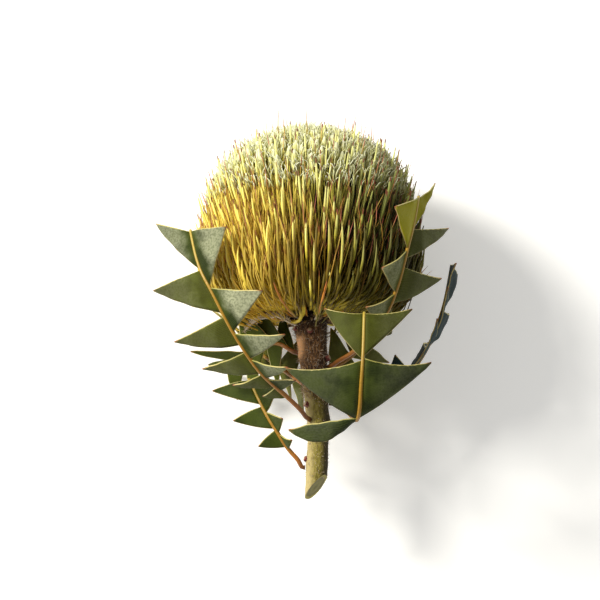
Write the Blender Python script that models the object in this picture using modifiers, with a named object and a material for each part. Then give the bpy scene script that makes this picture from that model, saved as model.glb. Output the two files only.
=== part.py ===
"""A cut birds nest banksia that lies on its back.

One dome-shaped bloom stands on a short woody stem with eight saw-cut leaves. The stem lies along Y with the
bloom at +Y, and the side that is seen first faces up, along +Z. Every size below is in millimetres. Places
are measured from the middle of the bloom's base: x across, y along the stem towards the bloom, z up.
"""

import math
import random

import bmesh
import bpy
from mathutils import Matrix, Vector

MM = 0.001

# Where the middle of the bloom's base lies: its height is what the florets underneath leave it.
BLOOM_BASE = Vector((0.5, -0.8, 44.0))
SEED = 7

# The bloom's outer form, from the top of the dome down to its lowest florets: the distance of a floret's tip
# from the axis, its height, how far the floret leans out in degrees, and the length of it that stands free.
FLORET_STATIONS = (
    (0.0, 80.5, 0.0, 9.0),
    (12.0, 80.0, 4.0, 9.0),
    (23.0, 77.0, 8.0, 10.5),
    (33.5, 71.5, 12.0, 12.5),
    (41.5, 62.5, 16.0, 14.5),
    (45.5, 52.0, 21.0, 16.0),
    (47.5, 41.0, 26.0, 16.0),
    (47.8, 30.0, 31.0, 17.0),
    (46.0, 20.0, 42.0, 19.0),
    (41.0, 12.5, 59.0, 20.0),
)
FLORET_COUNT = 430
FLORET_WIDTH_TOP = 3.6
FLORET_WIDTH_SIDE = 2.6
BLOOM_SHOULDER = 40.0
FLORET_SUNK = 3.0
FLORET_ROOT_SHARE = 0.62
FLORET_WIDEST_AT = 0.5
FLORET_UNEVEN = 1.2
LEAN_UNEVEN = 2.0
GOLDEN_ANGLE = math.pi * (3.0 - math.sqrt(5.0))

# The dense inner mass: a flat underside that meets the stem, then the wall that the florets stand out of.
UNDERSIDE_PROFILE = ((0.0, 0.3), (7.0, 0.3), (13.0, 0.6), (22.0, 1.2))
CORE_STEPS = 52
UNDERSIDE_RIBS = 26
UNDERSIDE_RIB_DEPTH = 1.3
UNDERSIDE_RIB_INNER = 10.0
UNDERSIDE_RIB_OUTER = 30.0
UNDERSIDE_TOP = 6.0

# The stem from its cut end to its top: sideways place, place along it, and radius.
STEM_STATIONS = (
    (2.3, -84.0, 4.3),
    (2.4, -72.0, 4.3),
    (2.8, -64.5, 4.6),
    (3.2, -58.0, 4.2),
    (3.6, -47.0, 4.7),
    (2.8, -40.0, 4.8),
    (2.4, -34.0, 5.3),
    (1.8, -26.0, 5.4),
    (1.3, -20.0, 5.9),
    (0.8, -14.0, 5.9),
    (0.2, -7.5, 6.9),
    (0.0, -3.0, 7.6),
    (0.0, 0.0, 7.2),
)
STEM_SIDES = 12
CUT_POINT = Vector((2.4, -73.7, 0.0))
CUT_NORMAL = Vector((0.9, -1.0, 0.54))

# Buds and leaf scars on the bark: place along the stem, angle round it in degrees from the front, and radius.
BUDS = ((-9.5, -4.0, 1.5), (-20.5, 72.0, 1.9), (-40.0, -58.0, 1.7), (-62.5, -80.0, 1.5), (-52.0, 165.0, 1.6))

# The bracts round the stem's top: how many, their length and width, and the place that they grow from.
BRACT_COUNT = 20
BRACT_LENGTH = 11.0
BRACT_WIDTH = 1.9
BRACT_PLACE = -3.2
BRACT_SUNK = 2.0
BRACT_ROOT_SHARE = 0.8
BRACT_WIDEST_AT = 0.45

# Leaves: the rib's radius at the stalk and at its tip, the blade's thickness, and the gap to the stem.
STALK_RADIUS = 1.35
RIB_END_RADIUS = 0.75
BLADE_THICKNESS = 0.65
RIB_SPACING = 8.0
LOBE_BASE_CELLS = 2
LOBE_TIP_CELLS = 3
LOBE_TIP_SHARE = 0.97
LOBE_BESIDE_RIB = 0.3
SEAT_GAP = 0.3
STALK_FOOT = 1.5

# Each leaf: its seat on the stem, as a place along it and degrees round it from the front, the route of its
# rib to its tip, and its lobes. A lobe gives the stretch of the rib that it grows from, its tip, how far its
# lower edge bulges towards the leaf's base, how far it arches, and how far its lower edge curls away.
LEAVES = {
    "leaf_left_front": {
        "seat": (-46.0, -46.0),
        "route": ((-3.5, -43, 8.5), (-10, -37.5, 15), (-21, -28.5, 25.5), (-31, -14.5, 33),
                  (-39.5, 1.5, 35.5), (-45.5, 14, 32.5), (-49.8, 32, 25.7)),
        "lobes": (
            (17, 24, (-19.5, -37, 10), 0.5, 0.5, 0.0),
            (25, 33, (-32, -33, 12), 0.8, 0.8, 0.0),
            (34, 45, (-44.5, -25.5, 10), 1.3, 1.0, 0.0),
            (49, 62, (-56, -14.5, 12), 1.4, 1.5, 0.0),
            (64, 84, (-65, 6.5, 14), 0.5, 2.0, 0.0),
            (85, 103, (-64.5, 35.5, 11), 1.2, 1.5, 0.0),
            (22, 30, (-6, -33, 28), 0.5, 0.5, 0.0),
            (31, 41, (-9, -29, 38), 0.5, 1.0, 0.0),
            (42, 54, (-10, -17, 47), 0.5, 1.5, 0.0),
            (55, 75, (-19, 0.5, 48), 0.5, 2.0, 0.0),
            (76, 103, (-34, 28, 40), 0.5, 1.0, 0.0),
        ),
    },
    "leaf_left_low": {
        "seat": (-65.5, -88.0),
        "route": ((-5, -62.5, 1.2), (-9, -58, 2), (-13, -52, 3), (-19, -42, 2), (-26, -27, -2)),
        "lobes": (
            (12.5, 20.5, (-21.5, -56.5, -2), 0.5, 0.5, 0.0),
            (21.5, 32, (-32, -45.5, -4), 0.8, 0.8, 0.0),
            (33.5, 45, (-41, -32.5, -7), 0.8, 1.0, 0.0),
            (11, 18, (-7.5, -55, 8), 0.5, 0.5, 0.0),
            (19, 29, (-11, -46, 8), 0.5, 0.5, 0.0),
            (29, 45, (-11.5, -31, 8), 0.5, 0.5, 0.0),
        ),
    },
    "leaf_left_mid": {
        "seat": (-17.0, -100.0),
        "route": ((-13.5, -12.5, -6), (-21, -13, -12), (-29, -16.5, -19), (-37, -22, -27)),
        "lobes": (
            (9, 17, (-13.5, -30, -9), 0.8, 0.5, 0.0),
            (18, 29, (-24, -33, -18), 1.0, 1.0, 0.0),
            (30, 42, (-31, -33, -31), 1.0, 1.0, 0.0),
            (2.5, 9.5, (-14.5, -3.5, -12), 0.8, 0.5, 0.0),
            (10, 18, (-19.5, -1.5, -12), 0.8, 0.5, 0.0),
            (18.5, 26, (-26.5, -1.5, -15), 0.8, 0.5, 0.0),
            (26.3, 33.5, (-51, -14, -17), 1.6, 1.0, 0.0),
            (34, 43, (-44, -17, -36), 1.0, 0.8, 0.0),
        ),
    },
    "leaf_left_back": {
        "seat": (-30.0, -140.0),
        "route": ((-7, -26, -11), (-14, -20, -19), (-21.5, -13, -27), (-28.5, -4, -34.5), (-33, 8, -40)),
        "lobes": (
            (3, 12, (-2, -43, -14), 0.8, 0.5, 0.0),
            (12.5, 22, (-7.5, -34.5, -18), 0.8, 0.5, 0.0),
            (23, 34, (-36, -19.5, -43.7), 1.0, 0.8, 0.0),
            (35, 49, (-44, 9, -43.7), 1.0, 1.0, 0.0),
            (9, 22, (-1.5, -4, -22), 0.8, 0.5, 0.0),
            (23, 34, (-9, -0.5, -31), 0.8, 0.5, 0.0),
            (35, 49, (-18, 1.5, -34), 0.8, 0.5, 0.0),
        ),
    },
    "leaf_right_front": {
        "seat": (-34.5, 42.0),
        "route": ((8.5, -38, 12), (13, -43, 22), (16.5, -48, 32), (18.5, -50.8, 39.5), (19.5, -47, 45),
                  (20, -38, 48.8), (20.8, -26, 50.3), (21.5, -8, 46.5)),
        "lobes": (
            (38, 43.5, (-9, -53.5, 31), 1.0, 0.5, 8.0),
            (43, 68, (-10, -30, 42), 0.8, 2.0, 0.0),
            (69, 88, (5.5, -5.5, 40.5), 1.5, 1.0, 0.0),
            (15, 24, (25, -34.5, 8), 0.5, 0.5, 0.0),
            (33, 42, (37, -32, 24), 0.5, 1.0, 0.0),
            (44, 69, (48.5, -28, 44), 0.5, 2.0, 0.0),
            (70, 88, (41, -6, 42), 0.5, 1.0, 0.0),
        ),
    },
    "leaf_right_side": {
        "seat": (-23.5, 78.0),
        "route": ((12, -21.5, 6), (17.5, -19, 12), (26.5, -11.5, 24.5), (32, -4, 33), (36, 6.5, 37.5),
                  (39.5, 20, 35.5), (42.5, 32, 30), (45.3, 47, 23.5)),
        "lobes": (
            (30, 38, (15, -7.5, 36), 0.5, 0.5, 0.0),
            (39, 52, (22.5, -6, 44.5), 0.8, 0.8, 0.0),
            (53, 71, (28.5, 10, 46), 1.5, 1.5, 0.0),
            (72, 98, (34, 36, 41.5), 1.5, 1.0, 0.0),
            (22, 31, (23, -19.5, 8), 0.5, 0.5, 0.0),
            (32, 46, (33.5, -11, 11), 0.8, 0.8, 0.0),
            (48, 63.5, (54.5, 11.5, 15), 0.8, 1.5, 0.0),
            (68, 82, (58, 34, 9), 1.5, 1.5, 0.0),
            (83, 98, (52.3, 52.8, 11), 0.8, 1.0, 0.0),
        ),
    },
    "leaf_right_far": {
        "seat": (-38.5, 92.0),
        "route": ((15, -39.5, -1), (24, -38, -2), (37.5, -30, -5), (48.5, -16, -7),
                  (56, 2, -8), (60, 21, -6)),
        "lobes": (
            (25, 40, (36, -16.5, -11), 0.8, 0.5, 0.0),
            (41, 56, (53, -5, 12), 1.0, 1.0, 0.0),
            (57, 72, (57, 8, 14), 1.0, 1.0, 0.0),
            (73, 90, (61, 18, 14), 1.0, 0.8, 0.0),
            (24, 36, (43, -21.5, -24), 0.8, 0.5, 0.0),
            (37, 52, (51, -8, -31), 1.2, 1.0, 0.0),
            (53, 70, (60, 5, -33), 1.2, 1.5, 0.0),
            (71, 90, (63.5, 20.5, -27), 1.0, 1.0, 0.0),
        ),
    },
    "leaf_right_back": {
        "seat": (-27.0, 140.0),
        "route": ((9, -23, -11), (16, -17.5, -19), (23, -9.5, -27.5), (29, 0.5, -35.5), (34, 11.5, -40.5)),
        "lobes": (
            (7, 24, (9, -3.5, -20), 0.8, 0.5, 0.0),
            (25, 35, (14.5, -1.5, -40), 0.8, 0.8, 0.0),
            (13, 23, (24, -26, -22), 0.8, 0.5, 0.0),
            (24, 36, (35, -15, -43.7), 1.0, 0.8, 0.0),
            (37, 52, (43, 12, -43.7), 1.0, 1.0, 0.0),
        ),
    },
}


def clear_scene():
    for old in list(bpy.data.objects):
        bpy.data.objects.remove(old, do_unlink=True)


def new_collection(name):
    made = bpy.data.collections.new(name)
    bpy.context.scene.collection.children.link(made)
    return made


def new_material(name, colour, roughness):
    material = bpy.data.materials.new(name)
    material.use_nodes = True
    shader = material.node_tree.nodes["Principled BSDF"]
    shader.inputs["Base Color"].default_value = (*colour, 1.0)
    shader.inputs["Roughness"].default_value = roughness
    shader.inputs["Metallic"].default_value = 0.0
    material.diffuse_color = (*colour, 1.0)
    return material


def triangles(body):
    return sum(len(face.vertices) - 2 for face in body.data.polygons)


def place(point):
    """Turns millimetres from the bloom's base into the world's metres."""
    return (Vector(point) + BLOOM_BASE) * MM


def smooth_route(points, spacing):
    """Reads evenly spaced points from a smooth curve through a route's own points."""
    ends = [points[0] * 2 - points[1], *points, points[-1] * 2 - points[-2]]
    fine = []
    for index in range(1, len(ends) - 2):
        before, start, end, after = ends[index - 1:index + 3]
        for step in range(24):
            t = step / 24
            fine.append(0.5 * (2 * start + (end - before) * t
                               + (2 * before - 5 * start + 4 * end - after) * t ** 2
                               + (3 * start - before - 3 * end + after) * t ** 3))
    fine.append(points[-1])
    lengths = [0.0]
    for first, second in zip(fine, fine[1:]):
        lengths.append(lengths[-1] + (second - first).length)
    count = max(2, round(lengths[-1] / spacing))
    return [point_along(fine, lengths, lengths[-1] * number / count) for number in range(count + 1)]


def point_along(points, lengths, distance):
    for index in range(1, len(points)):
        if lengths[index] >= distance or index == len(points) - 1:
            share = (distance - lengths[index - 1]) / (lengths[index] - lengths[index - 1])
            return points[index - 1].lerp(points[index], min(share, 1.0))


def mesh_of(source):
    """Takes a curve's or a modified object's finished mesh, with a curve's loose caps welded on."""
    bpy.context.view_layer.update()
    evaluated = source.evaluated_get(bpy.context.evaluated_depsgraph_get())
    mesh = bpy.data.meshes.new_from_object(evaluated)
    working = bmesh.new()
    working.from_mesh(mesh)
    bmesh.ops.remove_doubles(working, verts=working.verts, dist=0.00001)
    bmesh.ops.recalc_face_normals(working, faces=working.faces)
    working.to_mesh(mesh)
    working.free()
    return mesh


def tube(name, points, radii, sides, collection):
    """Makes a closed tube along the points, each with its own radius, as a mesh object."""
    curve = bpy.data.curves.new(name, "CURVE")
    curve.dimensions = "3D"
    curve.bevel_depth = MM
    curve.bevel_resolution = sides // 2 - 2
    curve.use_fill_caps = True
    spline = curve.splines.new("POLY")
    spline.points.add(len(points) - 1)
    for control, point, radius in zip(spline.points, points, radii):
        control.co = (*place(point), 1.0)
        control.radius = radius
    route = bpy.data.objects.new(name + "_route", curve)
    collection.objects.link(route)
    solid = bpy.data.objects.new(name, mesh_of(route))
    solid.matrix_world = route.matrix_world
    collection.objects.link(solid)
    bpy.data.objects.remove(route)
    return solid


def fuse(body, pieces, solver):
    """Joins every object of a collection to the body in one union, then removes them."""
    union = body.modifiers.new("union", "BOOLEAN")
    union.operation = "UNION"
    union.operand_type = "COLLECTION"
    union.collection = pieces
    union.solver = solver
    bpy.context.view_layer.update()
    evaluated = body.evaluated_get(bpy.context.evaluated_depsgraph_get())
    mesh = bpy.data.meshes.new_from_object(evaluated)
    body.modifiers.clear()
    body.data = mesh
    for piece in list(pieces.objects):
        bpy.data.objects.remove(piece)
    bpy.data.collections.remove(pieces)


def finish(body, material):
    body.data.materials.clear()
    body.data.materials.append(material)
    body.data.shade_smooth()
    body.data.set_sharp_from_angle(angle=math.radians(35))


def needle_mesh(name, root_share, widest_at):
    """A three-sided needle one unit long and one wide: a narrow root, a widest point and a fine tip."""
    mesh = bpy.data.meshes.new(name)
    working = bmesh.new()
    bmesh.ops.create_cone(working, cap_ends=True, segments=3, radius1=root_share / 2, radius2=0.5,
                          depth=widest_at, matrix=Matrix.Translation((0, 0, widest_at / 2)))
    top = [face for face in working.faces if face.calc_center_median().z > widest_at * 0.99]
    spike = bmesh.ops.poke(working, faces=top)
    for vert in spike["verts"]:
        vert.co.z = 1.0
    working.to_mesh(mesh)
    working.free()
    return mesh


def add_needle(name, mesh, start, direction, length, width, roll, collection):
    """Stands a needle on its start, along a direction."""
    turn = direction.to_track_quat("Z", "Y").to_matrix().to_4x4() @ Matrix.Rotation(roll, 4, "Z")
    size = Matrix.Diagonal((width * MM, width * MM, length * MM, 1.0))
    needle = bpy.data.objects.new(name, mesh)
    needle.matrix_world = Matrix.Translation(place(start)) @ turn @ size
    collection.objects.link(needle)
    return needle


def station_at(share):
    """Reads the bloom's outer form at a share of its surface, counted from the top of the dome."""
    bands = []
    for first, second in zip(FLORET_STATIONS, FLORET_STATIONS[1:]):
        slope = math.hypot(second[0] - first[0], second[1] - first[1])
        bands.append((first[0] + second[0]) / 2 * slope)
    wanted = share * sum(bands)
    for band, first, second in zip(bands, FLORET_STATIONS, FLORET_STATIONS[1:]):
        if wanted <= band:
            break
        wanted -= band
    inner, outer = first[0], second[0]
    part = min(wanted / band, 1.0)
    if abs(outer - inner) > 0.01:
        radius = math.sqrt(inner ** 2 + (outer ** 2 - inner ** 2) * part)
        part = (radius - inner) / (outer - inner)
    return [low + (high - low) * part for low, high in zip(first, second)]


def build_core(collection):
    """Turns the inner mass about the stem's line, with ribs like packed tubes on its underside."""
    outline = list(UNDERSIDE_PROFILE)
    for radius, height, lean, free in reversed(FLORET_STATIONS):
        angle = math.radians(lean)
        outline.append((max(radius - free * math.sin(angle), 0.0), height - free * math.cos(angle)))
    profile = bmesh.new()
    corners = [profile.verts.new((radius * MM, height * MM, 0.0)) for radius, height in outline]
    for first, second in zip(corners, corners[1:]):
        profile.edges.new((first, second))
    bmesh.ops.spin(profile, geom=profile.verts[:] + profile.edges[:], cent=(0, 0, 0), axis=(0, 1, 0),
                   angle=math.tau, steps=CORE_STEPS, use_merge=True)
    bmesh.ops.remove_doubles(profile, verts=profile.verts, dist=0.00001)
    for vert in profile.verts:
        reach = math.hypot(vert.co.x, vert.co.z) / MM
        if UNDERSIDE_RIB_INNER < reach < UNDERSIDE_RIB_OUTER and vert.co.y < UNDERSIDE_TOP * MM:
            round_it = math.atan2(vert.co.z, vert.co.x)
            vert.co.y += UNDERSIDE_RIB_DEPTH * MM * (0.5 + 0.5 * math.cos(round_it * UNDERSIDE_RIBS))
        vert.co += BLOOM_BASE * MM
    bmesh.ops.triangulate(profile, faces=profile.faces)
    bmesh.ops.recalc_face_normals(profile, faces=profile.faces)
    mesh = bpy.data.meshes.new("bloom")
    profile.to_mesh(mesh)
    profile.free()
    core = bpy.data.objects.new("bloom", mesh)
    collection.objects.link(core)
    return core


def build_bloom(collection):
    """Stands the florets on the inner mass in the spiral order in which they grow."""
    draw = random.Random(SEED)
    core = build_core(collection)
    florets = new_collection("florets")
    mesh = needle_mesh("floret", FLORET_ROOT_SHARE, FLORET_WIDEST_AT)
    for number in range(FLORET_COUNT):
        radius, height, lean, free = station_at((number + 0.5) / FLORET_COUNT)
        turn = number * GOLDEN_ANGLE
        lean = math.radians(lean + draw.uniform(-LEAN_UNEVEN, LEAN_UNEVEN))
        outward = Vector((math.cos(turn), 0.0, math.sin(turn)))
        direction = outward * math.sin(lean) + Vector((0.0, math.cos(lean), 0.0))
        tip = outward * radius + Vector((0.0, height, 0.0)) + direction * draw.uniform(-FLORET_UNEVEN, 0.0)
        length = free + FLORET_SUNK
        start = tip - direction * length
        if tip.z < -BLOOM_BASE.z:
            length = (start.z + BLOOM_BASE.z) / -direction.z
        side_share = min(1.0, radius / BLOOM_SHOULDER)
        width = FLORET_WIDTH_TOP + (FLORET_WIDTH_SIDE - FLORET_WIDTH_TOP) * side_share
        roll = draw.uniform(0, math.tau)
        add_needle(f"floret_{number}", mesh, start, direction, length, width, roll, florets)
    fuse(core, florets, "EXACT")
    finish(core, new_material("floret_yellow", (0.62, 0.55, 0.16), 0.65))
    return core


def stem_axis(along):
    """Gives the stem's middle and radius at a place along it."""
    for low, high in zip(STEM_STATIONS, STEM_STATIONS[1:]):
        if along <= high[1]:
            break
    part = (along - low[1]) / (high[1] - low[1])
    return Vector((low[0] + (high[0] - low[0]) * part, along, 0.0)), low[2] + (high[2] - low[2]) * part


def round_stem(degrees):
    """A direction out of the stem, counted from the front, positive to the right."""
    angle = math.radians(degrees)
    return Vector((math.sin(angle), 0.0, math.cos(angle)))


def build_stem(collection):
    """Makes the branch, cuts its end at a slant, and grows its buds and bracts."""
    draw = random.Random(SEED)
    middles = [Vector((x, y, 0.0)) for x, y, radius in STEM_STATIONS]
    stem = tube("stem", middles, [radius for x, y, radius in STEM_STATIONS], STEM_SIDES, collection)
    working = bmesh.new()
    working.from_mesh(stem.data)
    everything = working.verts[:] + working.edges[:] + working.faces[:]
    bmesh.ops.bisect_plane(working, geom=everything, plane_co=place(CUT_POINT), plane_no=CUT_NORMAL,
                           clear_outer=True)
    bmesh.ops.holes_fill(working, edges=[edge for edge in working.edges if edge.is_boundary])
    bmesh.ops.triangulate(working, faces=working.faces)
    bmesh.ops.recalc_face_normals(working, faces=working.faces)
    working.to_mesh(stem.data)
    working.free()
    growths = new_collection("growths")
    for number, (along, degrees, radius) in enumerate(BUDS):
        middle, stem_radius = stem_axis(along)
        bud = bmesh.new()
        bmesh.ops.create_icosphere(bud, subdivisions=1, radius=radius * MM)
        mesh = bpy.data.meshes.new(f"bud_{number}")
        bud.to_mesh(mesh)
        bud.free()
        solid = bpy.data.objects.new(f"bud_{number}", mesh)
        solid.location = place(middle + round_stem(degrees) * stem_radius)
        growths.objects.link(solid)
    mesh = needle_mesh("bract", BRACT_ROOT_SHARE, BRACT_WIDEST_AT)
    middle, stem_radius = stem_axis(BRACT_PLACE)
    for number in range(BRACT_COUNT):
        turn = number * 360.0 / BRACT_COUNT + draw.uniform(-5, 5)
        outward = round_stem(turn)
        rise = math.radians(draw.uniform(2, 14))
        direction = outward * math.cos(rise) + Vector((0.0, math.sin(rise), 0.0))
        length = BRACT_LENGTH * draw.uniform(0.75, 1.0)
        foot = middle + outward * (stem_radius - BRACT_SUNK)
        roll = draw.uniform(0, math.tau)
        add_needle(f"bract_{number}", mesh, foot, direction, length, BRACT_WIDTH, roll, growths)
    fuse(stem, growths, "EXACT")
    finish(stem, new_material("bark", (0.28, 0.2, 0.09), 0.8))
    return stem


def add_lobe(name, rib, lengths, lobe, collection):
    """Makes one pointed lobe: a thin arched blade from a stretch of the rib out to its tip."""
    start, end, tip, bulge, arch, curl = lobe
    tip = Vector(tip)
    middle = point_along(rib, lengths, (start + end) / 2)
    along = (point_along(rib, lengths, end) - point_along(rib, lengths, start)).normalized()
    outward = (tip - middle) - along * (tip - middle).dot(along)
    outward.normalize()
    face_up = along.cross(outward)
    if face_up.z < 0:
        face_up = -face_up
    working = bmesh.new()
    bmesh.ops.create_grid(working, x_segments=LOBE_BASE_CELLS, y_segments=LOBE_TIP_CELLS, size=0.5)
    for vert in working.verts:
        share = vert.co.x + 0.5
        reach = (vert.co.y + 0.5) * LOBE_TIP_SHARE
        base = point_along(rib, lengths, start + (end - start) * share) + outward * LOBE_BESIDE_RIB
        bow = 4 * reach * (1 - reach)
        point = base.lerp(tip, reach)
        point -= (along * bulge + face_up * curl) * bow * (1 - share)
        point += face_up * arch * bow
        vert.co = place(point)
    bmesh.ops.triangulate(working, faces=working.faces)
    mesh = bpy.data.meshes.new(name)
    working.to_mesh(mesh)
    working.free()
    blade = bpy.data.objects.new(name, mesh)
    wall = blade.modifiers.new("thickness", "SOLIDIFY")
    wall.thickness = BLADE_THICKNESS * MM
    wall.offset = 0.0
    collection.objects.link(blade)
    solid = bpy.data.objects.new(name + "_solid", mesh_of(blade))
    collection.objects.link(solid)
    bpy.data.objects.remove(blade)


def build_leaf(name, leaf, material, collection):
    """Seats the stalk on the stem, runs the rib along its route and fuses the lobes to it."""
    along, degrees = leaf["seat"]
    middle, stem_radius = stem_axis(along)
    foot = middle + round_stem(degrees) * (stem_radius + SEAT_GAP)
    knee = foot + round_stem(degrees) * STALK_FOOT
    rib = [foot] + smooth_route([knee] + [Vector(point) for point in leaf["route"]], RIB_SPACING)
    lengths = [0.0]
    for first, second in zip(rib, rib[1:]):
        lengths.append(lengths[-1] + (second - first).length)
    shares = [length / lengths[-1] for length in lengths]
    radii = [STALK_RADIUS + (RIB_END_RADIUS - STALK_RADIUS) * share for share in shares]
    body = tube(name, rib, radii, 6, collection)
    lobes = new_collection("lobes")
    for number, lobe in enumerate(leaf["lobes"]):
        add_lobe(f"lobe_{number}", rib, lengths, lobe, lobes)
    fuse(body, lobes, "EXACT")
    finish(body, material)
    print(name, "rib", round(lengths[-1], 1), "mm, triangles", triangles(body))
    return body


def main():
    clear_scene()
    plant = new_collection("birds_nest_banksia")
    bloom = build_bloom(plant)
    stem = build_stem(plant)
    print("bloom", triangles(bloom))
    print("stem", triangles(stem))
    for name, leaf in LEAVES.items():
        build_leaf(name, leaf, new_material(name + "_green", (0.09, 0.13, 0.04), 0.5), plant)


main()
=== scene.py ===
# %% [markdown]
# A birds nest banksia, laid down and dressed.
#
# The cut flower is a dome of several hundred florets on a short woody stem, with eight saw-cut leaves. The packed
# model is the frame: it fixes where the bloom, the stem and each leaf are. This lesson replaces each of those
# solids by finer pieces in the same place.

# %% Load the frame
import math
from collections import namedtuple

import bpy
import numpy as np
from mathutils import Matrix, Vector, noise

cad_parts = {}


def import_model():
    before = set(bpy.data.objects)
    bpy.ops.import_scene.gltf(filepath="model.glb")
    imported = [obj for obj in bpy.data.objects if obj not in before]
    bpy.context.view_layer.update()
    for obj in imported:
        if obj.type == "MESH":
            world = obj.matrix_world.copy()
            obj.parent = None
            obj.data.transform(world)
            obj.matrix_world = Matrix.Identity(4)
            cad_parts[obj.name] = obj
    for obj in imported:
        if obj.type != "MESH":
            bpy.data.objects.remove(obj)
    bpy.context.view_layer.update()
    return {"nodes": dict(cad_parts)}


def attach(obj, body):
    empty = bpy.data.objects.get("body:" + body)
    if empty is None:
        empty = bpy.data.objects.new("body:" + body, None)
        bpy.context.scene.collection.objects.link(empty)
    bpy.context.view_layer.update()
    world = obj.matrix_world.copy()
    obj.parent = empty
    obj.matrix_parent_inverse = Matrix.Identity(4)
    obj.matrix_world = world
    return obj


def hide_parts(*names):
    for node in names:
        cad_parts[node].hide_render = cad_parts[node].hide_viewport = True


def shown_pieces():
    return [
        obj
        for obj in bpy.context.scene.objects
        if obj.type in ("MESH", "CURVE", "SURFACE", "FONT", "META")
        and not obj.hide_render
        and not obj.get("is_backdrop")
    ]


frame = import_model()

# %% [markdown]
# Sizes are in millimetres and places are measured from the middle of the bloom's base: x across, y along the
# stem towards the bloom, and z up. The frame loads with all its solids selected, so nothing may be left selected
# before the first operator runs.

# %% Units and selecting
MM = 0.001
BLOOM_BASE = np.array((0.5, -0.8, 44.0))
FLOOR = -BLOOM_BASE[2]
UP = np.array((0.0, 1.0, 0.0))
FLORET_CLEAR = 1.2
MARGIN_CLEAR = 0.45
BLADE_CLEAR = 0.35
SKIN_CLEAR = 0.05
SEED = 7
rng = np.random.RandomState(SEED)


def world(points):
    """Turns millimetres from the bloom's base into the world's metres."""
    return (np.asarray(points, float) + BLOOM_BASE) * MM


def above_floor(places, clear=FLORET_CLEAR):
    """Lifts what would sink into the surface that the flower lies on."""
    places = np.array(places)
    places[..., 2] = np.maximum(places[..., 2], FLOOR + clear)
    return places


def pick(piece):
    """Selects one piece alone and makes it the active one."""
    bpy.ops.object.select_all(action="DESELECT")
    piece.select_set(True)
    bpy.context.view_layer.objects.active = piece


def choose(piece, test):
    """In edit mode, selects the corners whose place passes a test."""
    bpy.context.tool_settings.mesh_select_mode = (True, False, False)
    bpy.ops.mesh.select_all(action="DESELECT")
    bpy.ops.object.mode_set(mode="OBJECT")
    for corner in piece.data.vertices:
        corner.select = bool(test(corner.co))
    bpy.ops.object.mode_set(mode="EDIT")


def triangles(piece):
    return sum(len(face.vertices) - 2 for face in piece.data.polygons)


bpy.ops.object.select_all(action="DESELECT")
print("nodes:", sorted(frame["nodes"]))

# %% [markdown]
# The photograph looks down on the flower from a little towards the cut end of the stem. A long lens far away
# keeps the bloom and the stem in the same proportion as in the photograph.

# %% Camera
CAMERA_AIM = Vector(world((-4.2, 5.1, 0.0)))
CAMERA_ELEVATION = math.radians(80.0)
CAMERA_DISTANCE = 1.0
CAMERA_WIDTH = 0.252
SENSOR_WIDTH = 36.0


def aim(name, data, direction, distance):
    """Hangs a camera or a lamp in a direction from the flower, so that it looks back at it."""
    thing = bpy.data.objects.new(name, data)
    bpy.context.scene.collection.objects.link(thing)
    thing.location = CAMERA_AIM + direction * distance
    thing.rotation_mode = "QUATERNION"
    thing.rotation_quaternion = (-direction).to_track_quat("-Z", "Y")
    return thing


lens = bpy.data.cameras.new("camera")
lens.sensor_width = SENSOR_WIDTH
lens.lens = SENSOR_WIDTH * CAMERA_DISTANCE / CAMERA_WIDTH
back = Vector((0.0, -math.cos(CAMERA_ELEVATION), math.sin(CAMERA_ELEVATION)))
bpy.context.scene.camera = aim("camera", lens, back, CAMERA_DISTANCE)
print("lens", round(lens.lens, 1), "mm")

# %% [markdown]
# Shader maths reads best as plain expressions. `Wire` holds one socket and turns each operator into a Math node,
# and `Paint.add` makes every other node: its settings first, then the values or links of its sockets. A colour is
# built up in coats: each has a mask, which says where it shows, and lies over the ones before.

# %% Wires


def shade(code):
    """Turns a colour such as "d9c43a" into the linear numbers that Blender uses."""
    parts = [int(code[i:i + 2], 16) / 255 for i in (0, 2, 4)]
    return tuple(p / 12.92 if p <= 0.04045 else ((p + 0.055) / 1.055) ** 2.4 for p in parts)


class Wire:
    def __init__(self, paint, socket):
        self.paint, self.socket = paint, socket

    def sum(self, operation, *values):
        return self.paint.add("Math", {"operation": operation}, dict(enumerate(values)))

    def __add__(self, other):
        return self.sum("ADD", self, other)

    def __sub__(self, other):
        return self.sum("SUBTRACT", self, other)

    def __rsub__(self, other):
        return self.sum("SUBTRACT", other, self)

    def __mul__(self, other):
        return self.sum("MULTIPLY", self, other)

    def __truediv__(self, other):
        return self.sum("DIVIDE", self, other)

    def __pow__(self, other):
        return self.sum("POWER", self, other)

    __radd__, __rmul__ = __add__, __mul__

    def sine(self):
        return self.sum("SINE", self)

    def size(self):
        return self.sum("ABSOLUTE", self)

    def step(self, start, end):
        """Runs smoothly from 0 where the value is at start to 1 where it is at end, up or down."""
        settings = {"interpolation_type": "SMOOTHSTEP", "clamp": True}
        ends = {"From Min": min(start, end), "From Max": max(start, end)}
        rising = self.paint.add("MapRange", settings, {"Value": self, **ends})
        return rising if start < end else 1 - rising


print("wires ready")

# %% Paint


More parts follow.
